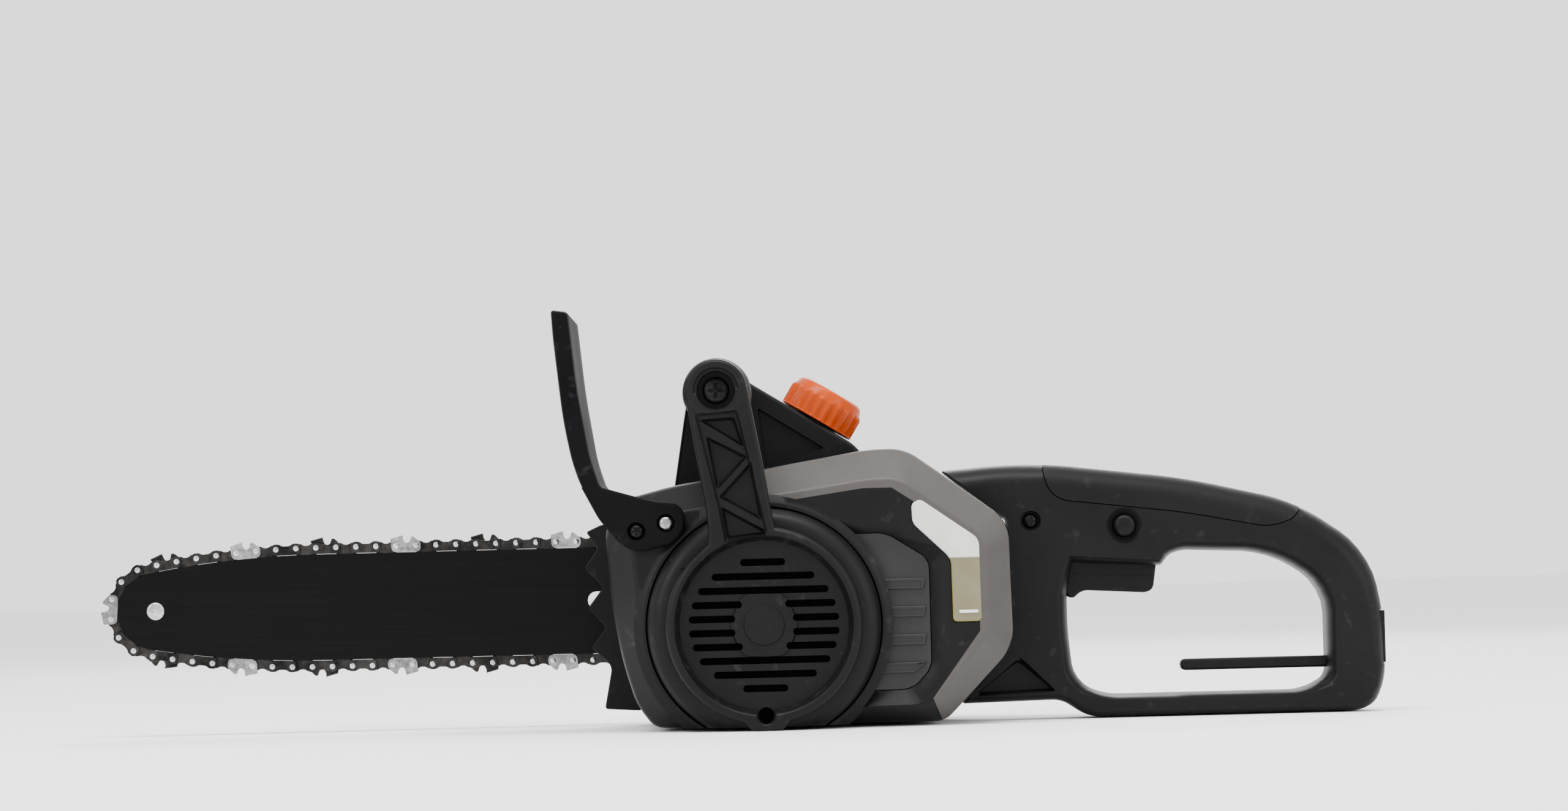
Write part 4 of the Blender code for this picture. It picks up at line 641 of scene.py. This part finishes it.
# Right body shell ----------------------------------------------------------------------------
# The drive side of the body carries the tower for the grip, with a leaning hole for the oil tank's
# neck. Its outer face has the flat pad against which the guide bar is clamped.
TOWER = [
    (-27, 104, 0), (-20, 147, 4), (-17.5, 160, 8), (-4.1, 170.5, 9), (9.8, 159.8, 4), (59.5, 128.8, 4),
    (66, 118, 0),
]
BAR_Y, BAR_Z, STUD_X = 50.0, 59.5, -20.0
CAP_SPOT, CAP_LEAN = Vector((0.0408, 0.020, 0.141)), math.radians(31.5)


def leaned(piece):
    """Turns a piece made round the Y axis, and puts it on the oil neck's leaned axis."""
    piece.rotation_euler = (math.radians(90), CAP_LEAN, 0)
    piece.location = CAP_SPOT
    return piece


right_shell = plate("right_shell", BODY, SEAM, 38, 0, 2.2)
carve(right_shell, plate("tower", TOWER, 2, 38, 2.0, 2.0), "UNION")
pad = plate("bar_pad", [(-49, 45.5, 2), (0, 45.5, 2), (0, 73.5, 2), (-49, 73.5, 2)], 36, 48.1, 0, 0.4)
carve(right_shell, pad, "UNION")
carve(right_shell, plate("right_room", grown(BODY, -4), -1, 34))
carve(right_shell, loft("tower_recess", [
    ([(13.5, 148, 1), (45, 128, 1), (17, 118.6, 1)], 1),
    ([(14.5, 146.5, 1), (43.5, 128.2, 1), (17.5, 120, 1)], 4),
]))
carve(right_shell, leaned(spun("neck_hole", [(0, -27), (13.3, -27), (13.3, 6), (0, 6)], 0, 0, 64)))
finish(right_shell, "root", "black_plastic", black_nylon, replaces=["right_housing"])

# Oil filler cap ------------------------------------------------------------------------------
# The orange polypropylene cap has 24 scalloped grooves for the fingers and a chamfered top. It turns
# on the neck above a black rubber seal.
cap = leaned(spun("oil_cap_visual", [
    (0, 3.1), (17.2, 3.1), (17.2, 0.4), (17.9, 0.4), (18.4, 0.9), (18.4, 1.5), (18.4, 5.6), (18.4, 9.8),
    (18.0, 10.9), (17.2, 11.6), (16.0, 14.6), (15.2, 15.5), (13.8, 16), (9.6, 16), (9.0, 15.4), (0, 15.4),
], 0, 0, 144))
only(cap)
mode("EDIT")
for step, share in ((0, 0.944), (1, 0.958), (-1, 0.958), (2, 0.984), (-2, 0.984)):
    pick(cap, "VERT", lambda v: 0.0176 < math.hypot(v.co.x, v.co.z) < 0.0186 and v.co.y > 0.0012
         and abs((math.degrees(math.atan2(v.co.z, v.co.x)) - 2.5 * step + 7.5) % 15 - 7.5) < 0.6)
    bpy.ops.transform.resize(value=(share, 1, share), orient_type="LOCAL", center_override=CAP_SPOT)
mode("OBJECT")
orange = moulded("orange", (0.34, 0.036, 0.0002), (0.4, 0.045, 0.0003), 0.2, 0.3, 2000, 0.00002,
                 (0.45, 0.07, 0.001), 1.2)
finish(cap, "cap", "orange_plastic", orange, replaces=["oil_cap"], angle=30)
seal = leaned(spun("oil_cap_seal_visual", [
    (0, -8), (10.4, -8), (10.4, 0.5), (16.4, 0.5), (16.9, 0.9), (16.9, 2.3), (16.4, 2.8), (0, 2.8),
], 0, 0, 64))
finish(seal, "cap_seal", "black_rubber", rubber, replaces=["oil_cap_seal"])

# Bumper spikes -------------------------------------------------------------------------------
# The toothed bumper that bites into the log is a black moulding with rounded edges. It lies flat on
# the face of the drive side.
SPIKES = [
    (-50.6, 95.6, 1), (-61.3, 95.5, 2), (-69.2, 91.9, 1.2), (-63.5, 84.4, 2), (-70.4, 74.8, 1.2),
    (-61.7, 65.5, 2), (-69.2, 55.7, 1.2), (-60.8, 46.8, 2), (-67.9, 37.2, 1.2), (-58.2, 28.4, 3),
    (-62.1, 8.0, 1.5), (-44.7, 6.8, 1.5), (-42, 14, 2), (-50.6, 30, 2),
]
spikes = plate("bumper_spikes_visual", SPIKES, 38.3, 43.3, 0.7, 0.7)
finish(spikes, "root", "black_plastic", black_nylon, replaces=["bumper_spikes"])

# Guide bar -----------------------------------------------------------------------------------
# The bar is laminated from two painted steel sides round a thinner core. Its rails are ground bright
# where the chain runs. A long slot lets it slide on the stud, two holes pass the oil, and the nose is
# slotted for a small sprocket.
NOSE_X, NOSE_R, NOSE_TAPER, BAR_HALF = -275.4, 18.3, math.radians(10), 25.2


def bar_edge(offset, step=4.0):
    """(x, z) points along the bar's edge grown by offset: from its top rear round the nose and back."""
    taper_run = 2 * (BAR_HALF - NOSE_R * math.cos(NOSE_TAPER)) / math.tan(NOSE_TAPER)
    taper_x = NOSE_X - NOSE_R * math.sin(NOSE_TAPER) + taper_run
    straight = int((2 - taper_x) / (2 * step))
    top = [(2 - i * (2 - taper_x) / straight, BAR_HALF, 0.0) for i in range(straight + 1)]
    flank = int(taper_run / step)
    for i in range(1, flank + 1):
        run = taper_run * i / flank
        slope = math.tan(NOSE_TAPER) * run / taper_run
        top.append((taper_x - run, BAR_HALF - slope * run / 2, slope))
    upper = [Vector((x - offset * math.sin(math.atan(slope)), z + offset * math.cos(math.atan(slope))))
             for x, z, slope in top]
    reach, sweep = NOSE_R + offset, math.pi - 2 * NOSE_TAPER
    turns = int(math.pi * reach / (step / 1.5))
    nose = [Vector((NOSE_X - reach * math.sin(NOSE_TAPER + sweep * i / turns),
                    reach * math.cos(NOSE_TAPER + sweep * i / turns))) for i in range(1, turns)]
    lower = [Vector((p.x, -p.y)) for p in reversed(upper)]
    return [(p.x, p.y + BAR_Z) for p in upper + nose + lower]


bar_paint, tree, shader = shaded("bar_paint", 0.3, 0.0, 1.16)
here = add(tree, "ShaderNodeTexCoord")["Object"]
along = add(tree, "ShaderNodeMapping", Vector=here, Scale=(12, 400, 700))["Vector"]
scratches = noise(tree, along, 1.0, 6.0, 0.7)
cloud = noise(tree, here, 24.0, 5.0)
tone = between(tree, scratches, (0.3, (0.0014, 0.0013, 0.0014)), (0.72, (0.003, 0.0028, 0.003)))
feed(tree, shader.inputs["Base Color"], tone)
surfaced(tree, shader, cloud, 0.2, 0.34, scratches, 0.2, 0.00001)

edge = bar_edge(0) + [(14, BAR_Z - 20), (14, BAR_Z + 20)]
bar = plate("guide_bar_visual", edge, 48.4, 51.6, 0.3, 0.3, rim_steps=2)
bar.data.materials.append(bar_paint)
bar.data.materials.append(zinc)
for face in bar.data.polygons:
    face.material_index = 0 if abs(face.normal.y) > 0.9 else 1
carve(bar, plate("bar_slot", [
    (-69.5, BAR_Z - 4.2, 4.1), (-15.5, BAR_Z - 4.2, 4.1), (-15.5, BAR_Z + 4.2, 4.1),
    (-69.5, BAR_Z + 4.2, 4.1),
], 45, 55))
for z in (15, -15):
    drill(bar, 2.2, 45, 55, -6, BAR_Z + z, 24)
drill(bar, 19.1, 49.1, 50.9, NOSE_X, BAR_Z, 96)
drill(bar, 4.15, 45, 55, NOSE_X, BAR_Z, 40)
finish(bar, "bar", "bar_paint", replaces=["guide_bar"])

# Nose sprocket and its rivet -----------------------------------------------------------------
# The chain runs over a thin nine-tooth steel wheel, riveted between the sides of the nose. The rivet's
# ends are turned bright, with a small centre dimple.
teeth = []
for i in range(9):
    for turn, radius in ((0, 14), (0.25, 14), (0.38, 17.4), (0.62, 17.4), (0.75, 14)):
        angle = 2 * math.pi * (i + turn) / 9
        teeth.append((NOSE_X + radius * math.cos(angle), BAR_Z + radius * math.sin(angle), 0.4))
wheel = plate("nose_sprocket_visual", teeth, 49.4, 50.6, 0.15, 0.15, steps=2, rim_steps=1)
drill(wheel, 4.15, 45, 55, NOSE_X, BAR_Z, 40)
finish(wheel, "nose_wheel", "steel", zinc, replaces=["nose_sprocket"])
chrome = metal("chrome", (0.34, 0.34, 0.35), (0.6, 0.6, 0.61), 0.08, 0.2, (500, 500, 500), 0.00001)
rivet = spun("nose_rivet_visual", [
    (0, 48.3), (0.9, 48.25), (1.2, 48.0), (3.3, 48.0), (3.85, 48.4), (3.85, 51.6), (3.3, 52.0), (1.2, 52.0),
    (0.9, 51.75), (0, 51.7),
], NOSE_X, BAR_Z, 48)
finish(rivet, "bar", "steel", chrome, replaces=["nose_rivet"])

# Saw chain -----------------------------------------------------------------------------------
# The chain has 80 links 9.5 mm long. Pairs of waisted tie straps alternate with drive links whose
# tangs reach in past the bar's edge. Every fourth link has a cutter, with a top plate and a depth
# gauge, in place of one of its straps.
LINKS, CHAIN_LINE = 80, 3.1
edge = [Vector(p) for p in bar_edge(CHAIN_LINE, 2.0)]
centre, radius = Vector((42.33, BAR_Z)), 18.2
run, rise = centre.x - edge[0].x, edge[0].y - centre.y
start = math.atan2(rise, -run) - math.acos(radius / math.hypot(run, rise))
path = edge + [centre + radius * Vector((math.cos(start * (i / 20 - 1)), math.sin(start * (i / 20 - 1))))
               for i in range(41)]
lengths = [(b - a).length for a, b in zip(path, path[1:] + path[:1])]
pins = []
for i in range(LINKS):
    ahead, k = i / LINKS * sum(lengths), 0
    while ahead > lengths[k]:
        ahead -= lengths[k]
        k += 1
    pins.append(path[k].lerp(path[(k + 1) % len(path)], ahead / lengths[k]))

HALF = sum(lengths) / LINKS / 2
STRAP = [
    (-HALF - 2.1, -1.6, 0.7), (-HALF - 1.2, -2.95, 0.7), (HALF + 1.2, -2.95, 0.7), (HALF + 2.1, -1.6, 0.7),
    (HALF + 2.1, 1.5, 0.7), (HALF + 1.2, 2.5, 0.7), (HALF - 1.5, 2.5, 0.7), (HALF - 2.9, 1.4, 0.8),
    (-HALF + 2.9, 1.4, 0.8), (-HALF + 1.5, 2.5, 0.7), (-HALF - 1.2, 2.5, 0.7), (-HALF - 2.1, 1.5, 0.7),
]
DRIVE = [
    (-HALF - 2.0, -1.5, 0.8), (-HALF - 0.6, -3.0, 0.8), (-1.8, -3.4, 0.8), (-1.0, -6.4, 0.6),
    (1.0, -6.4, 0.6), (1.8, -3.4, 0.8), (HALF + 0.6, -3.0, 0.8), (HALF + 2.0, -1.5, 0.8),
    (HALF + 2.0, 1.2, 0.8), (HALF + 0.8, 2.2, 0.8), (HALF - 2.4, 2.2, 0.8), (1.2, 1.2, 0.8),
    (-1.2, 1.2, 0.8), (-HALF + 2.4, 2.2, 0.8), (-HALF - 0.8, 2.2, 0.8), (-HALF - 2.0, 1.2, 0.8),
]
CUTTER = [
    (-7.0, -1.5, 0.7), (-5.9, -2.95, 0.7), (5.9, -2.95, 0.7), (7.0, -1.5, 0.7), (7.3, 3.4, 0.3),
    (1.6, 4.9, 0), (1.3, 2.6, 0.8), (0.3, 1.3, 0.8), (-1.0, 1.2, 0.8), (-1.9, 2.2, 0.8), (-2.5, 4.3, 0.5),
    (-3.6, 4.4, 0.6), (-6.3, 1.9, 0.8), (-7.0, 1.0, 0.7),
]


def on_link(template, i):
    """A copy of a link's part, made round the origin, at the i-th link of the chain."""
    here, there = pins[i], pins[(i + 1) % LINKS]
    ahead = (there - here).normalized()
    middle = (here + there) / 2
    copy = twin(template)
    copy.matrix_world = Matrix((
        (ahead.x, 0, ahead.y, middle.x * MM), (0, -1, 0, BAR_Y * MM), (ahead.y, 0, -ahead.x, middle.y * MM),
        (0, 0, 0, 1),
    ))
    return copy


straps = [plate("strap", STRAP, low, low + 1.15, 0.22, 0.22, steps=2, rim_steps=2) for low in (0.85, -2.0)]
drive = plate("drive_link", DRIVE, -0.7, 0.7, 0.15, 0.15, steps=2, rim_steps=1)
pin = spun("pin", [
    (0, -2.25), (0.7, -2.22), (1.25, -2.05), (1.55, -1.8), (1.55, 1.8), (1.25, 2.05), (0.7, 2.22), (0, 2.25),
], -HALF, 0, 20)
cutters = []
for side in (1, -1):
    cutter = plate("cutter_side", CUTTER, side * 2.0, side * 0.85, 0.18, 0.15, steps=2, rim_steps=2)
    top = plate("cutter_top", [(7.3, 2.5, 0), (7.3, 3.4, 0.3), (1.6, 4.9, 0), (1.6, 4.0, 0)],
                side * 1.95, side * -1.3, 0.1, 0.1, steps=2, rim_steps=1)
    cutters.append(carve(cutter, top, "UNION"))
placed = {"straps": [], "drive_links": [], "left_cutters": [], "right_cutters": [], "pins": []}
for i in range(LINKS):
    placed["pins"].append(on_link(pin, i))
    if i % 2:
        placed["drive_links"].append(on_link(drive, i))
    elif i % 4 == 0:
        side = (i // 4) % 2
        placed["right_cutters" if side else "left_cutters"].append(on_link(cutters[side], i))
        placed["straps"].append(on_link(straps[1 - side], i))
    else:
        placed["straps"] += [on_link(strap, i) for strap in straps]
for template in (*straps, drive, pin, *cutters):
    bpy.data.objects.remove(template)
chain_steel = metal("chain_steel", (0.01, 0.01, 0.01), (0.04, 0.038, 0.036), 0.28, 0.46, (300, 300, 300))
cutter_chrome = metal("cutter_chrome", (0.12, 0.12, 0.12), (0.34, 0.34, 0.34), 0.2, 0.4, (400, 400, 400))
for name, material in (
    ("straps", chain_steel), ("drive_links", chain_steel), ("left_cutters", cutter_chrome),
    ("right_cutters", chain_steel), ("pins", chrome),
):
    piece = gathered(f"chain_{name}", placed[name])
    finish(piece, "bar", "dark_steel", material, replaces=["chain"] if name == "straps" else ())

# Sprocket cover ------------------------------------------------------------------------------
# The black cover over the sprocket is held by the stud's knob. It is a shell 3 mm thick with a rounded
# rim, and four slanted ribs stand on its rear part.
COVER = [
    (-50, 20, 4), (-40, 0, 5), (30, 0, 10), (66, 12, 12), (88, 40, 12), (90, 72, 12), (70, 98, 14),
    (30, 103, 8), (-50, 99, 6),
]
cover = loft("sprocket_cover_visual", [
    (COVER, 38.3), (COVER, 62), (grown(COVER, -0.6), 64.6), (grown(COVER, -2), 66.8),
    (grown(COVER, -4.2), 68),
])
carve(cover, loft("cover_room", [(grown(COVER, -3), 36), (grown(COVER, -3), 62), (grown(COVER, -5), 65)]))
carve(cover, plate("cover_mouth", [(-60, 18), (-60, 101), (-40, 95), (-40, 24)], 36, 58))
carve(cover, plate("spike_room", grown(SPIKES, 0.6), 36, 43.6))
drill(cover, 11.5, 60, 75, STUD_X, BAR_Z, 64)
for i in range(4):
    x = 34 + 11 * i
    rib = plate("cover_rib", [
        (x, 30 + i, 1.5), (x + 4, 30 + i, 1.5), (x - 4, 82 - 2 * i, 1.5), (x - 8, 82 - 2 * i, 1.5),
    ], 67, 69, 0.7, 0.7)
    carve(cover, rib, "UNION")
finish(cover, "root", "black_plastic", black_nylon, replaces=["sprocket_cover"])

# Tension ring --------------------------------------------------------------------------------
# A grey ring with a notched rim lies round the knob. Its hub passes through the cover and turns the
# plate that slides the bar outwards, which tensions the chain.
ring = spun("tension_ring_visual", [
    (5.5, 61), (11.2, 61), (11.2, 68.3), (24.2, 68.3), (25, 69), (25, 74.2), (24.2, 75), (19.8, 75),
    (19, 74.2), (19, 70.5), (5.5, 70.5),
], STUD_X, BAR_Z, 120)
only(ring)
mode("EDIT")
pick(ring, "VERT", lambda v: v.co.y > 0.0686
     and math.hypot(v.co.x - STUD_X * MM, v.co.z - BAR_Z * MM) > 0.0238
     and math.degrees(math.atan2(v.co.z - BAR_Z * MM, v.co.x - STUD_X * MM)) % 12 < 4)
bpy.ops.transform.resize(value=(0.955, 1, 0.955), center_override=(STUD_X * MM, 0.07, BAR_Z * MM))
mode("OBJECT")
finish(ring, "tensioner", "grey_trim", grey_nylon, replaces=["tension_ring"])

# Lock knob -----------------------------------------------------------------------------------
# A round black knob with one raised wing for the fingers clamps the cover and the bar. It turns on the
# steel stud by a nut moulded into it.
knob = spun("lock_knob_visual", [
    (7.8, 70.8), (17.5, 70.8), (17.5, 76.5), (16.9, 77.6), (9, 78.2), (0, 78.2), (0, 78.0), (7.8, 78.0),
], STUD_X, BAR_Z, 72)
wing = plate("knob_wing", [
    (STUD_X - 16.4, BAR_Z - 3.4, 2.6), (STUD_X + 16.4, BAR_Z - 3.4, 2.6),
    (STUD_X + 16.4, BAR_Z + 3.4, 2.6), (STUD_X - 16.4, BAR_Z + 3.4, 2.6),
], 78.05, 84, 0, 1.4)
carve(knob, wing, "UNION")
finish(knob, "lock_knob", "black_plastic", black_nylon, replaces=["lock_knob"])

# Rear handle ---------------------------------------------------------------------------------
# The rear handle is a closed loop moulded in two black halves that meet on the centre plane. It is
# strongly rounded outside and round the hand opening, with a sunk triangle in its lower front. The left
# half has a dish for the lock-off button and a recess for the screw.
HANDLE = [
    (98.6, 115.6, 1), (126, 117.8, 10), (150, 117.2, 8), (209.9, 109.8, 14), (262, 97.5, 14), (296, 74, 16),
    (301.74, 44, 8), (301.74, 12, 8), (294, 0, 7), (164, 0, 5), (151.4, 8.4, 4), (105.7, 7.6, 1),
    (128.6, 33.6, 2), (128.6, 92.2, 1),
]
OPENING = [
    (155.2, 57, 0.5), (155.2, 40, 6), (157.5, 17, 8), (172, 10.2, 6), (264, 10.2, 6), (275, 16.4, 3.5),
    (275, 58, 12), (250, 74.5, 12), (209, 76.4, 3), (203, 74.4, 2), (199, 69.4, 1), (158, 71.7, 0.5),
]
ROUNDING = ((0, 6.5), (0.9, 11), (2.9, 14.3), (6, 16.8), (10, 18))  # inset and depth of each section
BUTTON_X, BUTTON_Z = 182.1, 88.2
SCREW_X, SCREW_Z = 138.8, 91.4
SEAM_LINE = [
    (144.6, 125, 0), (145.4, 108, 5), (152, 100.6, 4), (175.6, 97.7, 6), (209.6, 93.5, 8), (250, 85.5, 6),
    (262, 90, 4), (268, 102, 0), (268, 125, 0),
]
CHANNEL = [
    (132.5, 92), (132.5, 111), (150, 110.5), (176, 108), (210, 102.5), (258, 90.5), (281, 79), (290, 66),
    (297, 45), (297, 16), (281, 16), (280, 60), (254, 79), (214, 81), (203, 79.5), (199, 76), (160, 76),
    (151, 70), (150, 48), (132.5, 42),
]


def shared(corners, shares, distance):
    """The corners moved outwards by distance, each by its own share of it."""
    moved = grown(corners, 1)
    return [(x + (mx - x) * distance * share, z + (mz - z) * distance * share, reach)
            for (x, z, reach), (mx, mz, _), share in zip(corners, moved, shares)]


def loop_outline(inset):
    """The handle's outline drawn in by inset. It keeps its fit to the body in front."""
    line = shared(HANDLE, (0, 1, 1, 1, 1, 1, 0.8, 0.45, 0.3, 0.3, 0.3, 0, 0, 0), -inset)
    line[0] = (HANDLE[0][0] + 1.16 * inset, HANDLE[0][1] - 0.9 * inset, 1)
    line[11] = (HANDLE[11][0] + 0.27 * inset, HANDLE[11][1] + 0.3 * inset, 1)
    return line


def hand_cut(side):
    """The hand opening in one half, wider towards the outside."""
    shares = (0.7, 0.7, 0.7, 0.3, 0.3, 0.6, 0.75, 0.75, 0.7, 0.5, 0.3, 0.4)
    flare = ((0, -1), (0, 7), (0.8, 11.5), (2.6, 14.8), (5, 16.9), (8.6, 18.4))
    return loft("hand_cut", [(shared(OPENING, shares, reach), side * y) for reach, y in flare])


for name, side in (("left", -1), ("right", 1)):
    half = loft(f"rear_handle_{name}_visual", [
        (loop_outline(0), side * SEAM), *((loop_outline(inset), side * y) for inset, y in ROUNDING),
    ], 5)
    carve(half, hand_cut(side))
    carve(half, plate("channel", CHANNEL, side * 9, side * -2))
    carve(half, plate("trigger_slot", [(152.6, 52), (200.2, 52), (200.2, 80), (152.6, 80)], -6.2, 6.2))
    carve(half, plate("grip_seat", SEAM_LINE, side * 20, side * 11.3))
    carve(half, plate("grip_core", grown(SEAM_LINE, -3), side * 12.1, side * -3))
    carve(half, loft("sunk_triangle", [
        ([(109.5, 10.8, 2), (149.5, 12, 2), (131, 30.5, 2)], side * 18.4),
        ([(112, 12, 2), (148, 13, 2), (131.5, 28, 2)], side * 17),
        ([(113, 12.8, 2), (146.8, 13.7, 2), (131.5, 26.6, 2)], side * 12),
    ]))
    if side < 0:
        carve(half, spun("button_dish", [
            (0, -18.7), (8.7, -18.7), (8.1, -17.85), (6.5, -16.9), (5.6, -16.6), (5.6, -7.3), (0, -7.3),
        ], BUTTON_X, BUTTON_Z, 60))
        carve(half, spun("screw_recess", [
            (0, -18.7), (5.3, -18.7), (4.5, -17.6), (4.1, -17), (4.1, -14.8), (2.1, -14.8), (2.1, -7.3),
            (0, -7.3),
        ], SCREW_X, SCREW_Z, 44))
    carve(half, plate("inlet_hole", [
        (281.6, 21.55), (312, 21.55), (312, 46.45), (281.6, 46.45),
    ], -12.45, 12.45))
    finish(half, "root", "black_plastic", black_nylon, replaces=[f"rear_handle_{name}"], angle=34)

# Rear grip -----------------------------------------------------------------------------------
# The top of the handle is overmoulded with matt rubber. A fine gap runs along its lower edge.
skin = [(loop_outline(inset - 0.1), y) for inset, y in reversed(ROUNDING)]
grip = loft("rear_grip_visual", [
    *((line, -y) for line, y in skin), *((loop_outline(inset - 0.1), y) for inset, y in ROUNDING),
], 5)
carve(grip, plate("grip_region", grown(SEAM_LINE, -0.45), -19, 19), "INTERSECT")
carve(grip, plate("grip_room", CHANNEL, -9, 9))
finish(grip, "root", "black_rubber", rubber, replaces=["rear_grip"], angle=34)

# Handle screw --------------------------------------------------------------------------------
# One of the screws that hold the handle halves together: a blued pan head with a cross recess.
screw = spun("handle_screw_visual", [
    (0, -17.4), (2.2, -17.2), (3.1, -16.6), (3.5, -15.7), (3.5, -15.0), (1.8, -15.0), (1.8, 13), (0, 13),
], SCREW_X, SCREW_Z, 40)
cross_recess(screw, SCREW_X, SCREW_Z, -17.4, 2.1, 1.2)
finish(screw, "root", "steel", blued, replaces=["handle_screw"])

# Trigger and lock-off button -----------------------------------------------------------------
# The trigger is a black lever with a scooped finger edge, a lip at its front end and a fine crease along
# each side. The lock-off button above it is a plain pin with a rounded end.
TRIGGER = [
    (154.8, 56.4, 1.5), (158.4, 54.9, 1.5), (162, 58.8, 3), (192.9, 56.9, 2), (195.6, 59, 1.5),
    (197.2, 70, 1), (198.6, 80, 1), (209, 81.5, 1), (209, 84, 1), (172, 84, 2), (166, 86, 3),
    (156.6, 85, 3), (155.8, 70, 3),
]
trigger = loft("trigger_visual", [
    (grown(TRIGGER, -0.9), -5.5), (grown(TRIGGER, -0.3), -5.2), (TRIGGER, -4.6), (TRIGGER, 4.6),
    (grown(TRIGGER, -0.3), 5.2), (grown(TRIGGER, -0.9), 5.5),
], 3)
drill(trigger, 1.9, -10, 10, 161, 79, 32)
for side in (-1, 1):
    carve(trigger, plate("trigger_crease", [(158, 66.2), (195, 64.4), (195, 65.1), (158, 66.9)],
                         side * 6, side * 5.1))
finish(trigger, "trigger", "black_plastic", black_nylon, replaces=["trigger"])
button = spun("lock_off_button_visual", [
    (0, -20.6), (2.6, -20.5), (4.0, -20.1), (4.8, -19.3), (5.1, -18.2), (5.1, -10), (0, -10),
], BUTTON_X, BUTTON_Z, 64)
finish(button, "lock_off_button", "black_plastic", black_nylon, replaces=["lock_off_button"])

# Cord hook -----------------------------------------------------------------------------------
# A slim bar with a rounded end stands into the hand opening from the rear post, to hold the lead.
hook = plate("cord_hook_visual", [(207.3, 20.4, 2.4), (207.3, 25.7, 2.4), (276, 25.7, 0), (276, 20.4, 0)],
             -4, 4, 1.3, 1.3)
finish(hook, "root", "black_plastic", black_nylon, replaces=["cord_hook"])

# Unseen and machined parts -------------------------------------------------------------------
# The parts inside the body keep their machined shapes: ground shafts and gears, a wound copper armature
# on laminated iron, brass brush holders, a die-cast gear plate, a nylon fan and the oil tank.
copper = metal("bare_copper", (0.5, 0.17, 0.06), (0.8, 0.34, 0.15), 0.25, 0.45, (60, 1400, 60))
brass = metal("machined_brass", (0.55, 0.38, 0.13), (0.78, 0.58, 0.25), 0.24, 0.42)
aluminium = metal("cast_aluminium", (0.42, 0.42, 0.43), (0.62, 0.62, 0.63), 0.38, 0.56, (260, 260, 260),
                  0.00006)
looks = {
    "black_rubber": rubber, "steel": zinc, "dark_steel": blued, "copper": copper, "brass": brass,
    "aluminium": aluminium, "oil_window": window_resin,
}
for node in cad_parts.values():
    if not node.hide_render:
        for place in node.material_slots:
            place.material = looks.get(place.material.name.split(".")[0], black_nylon)
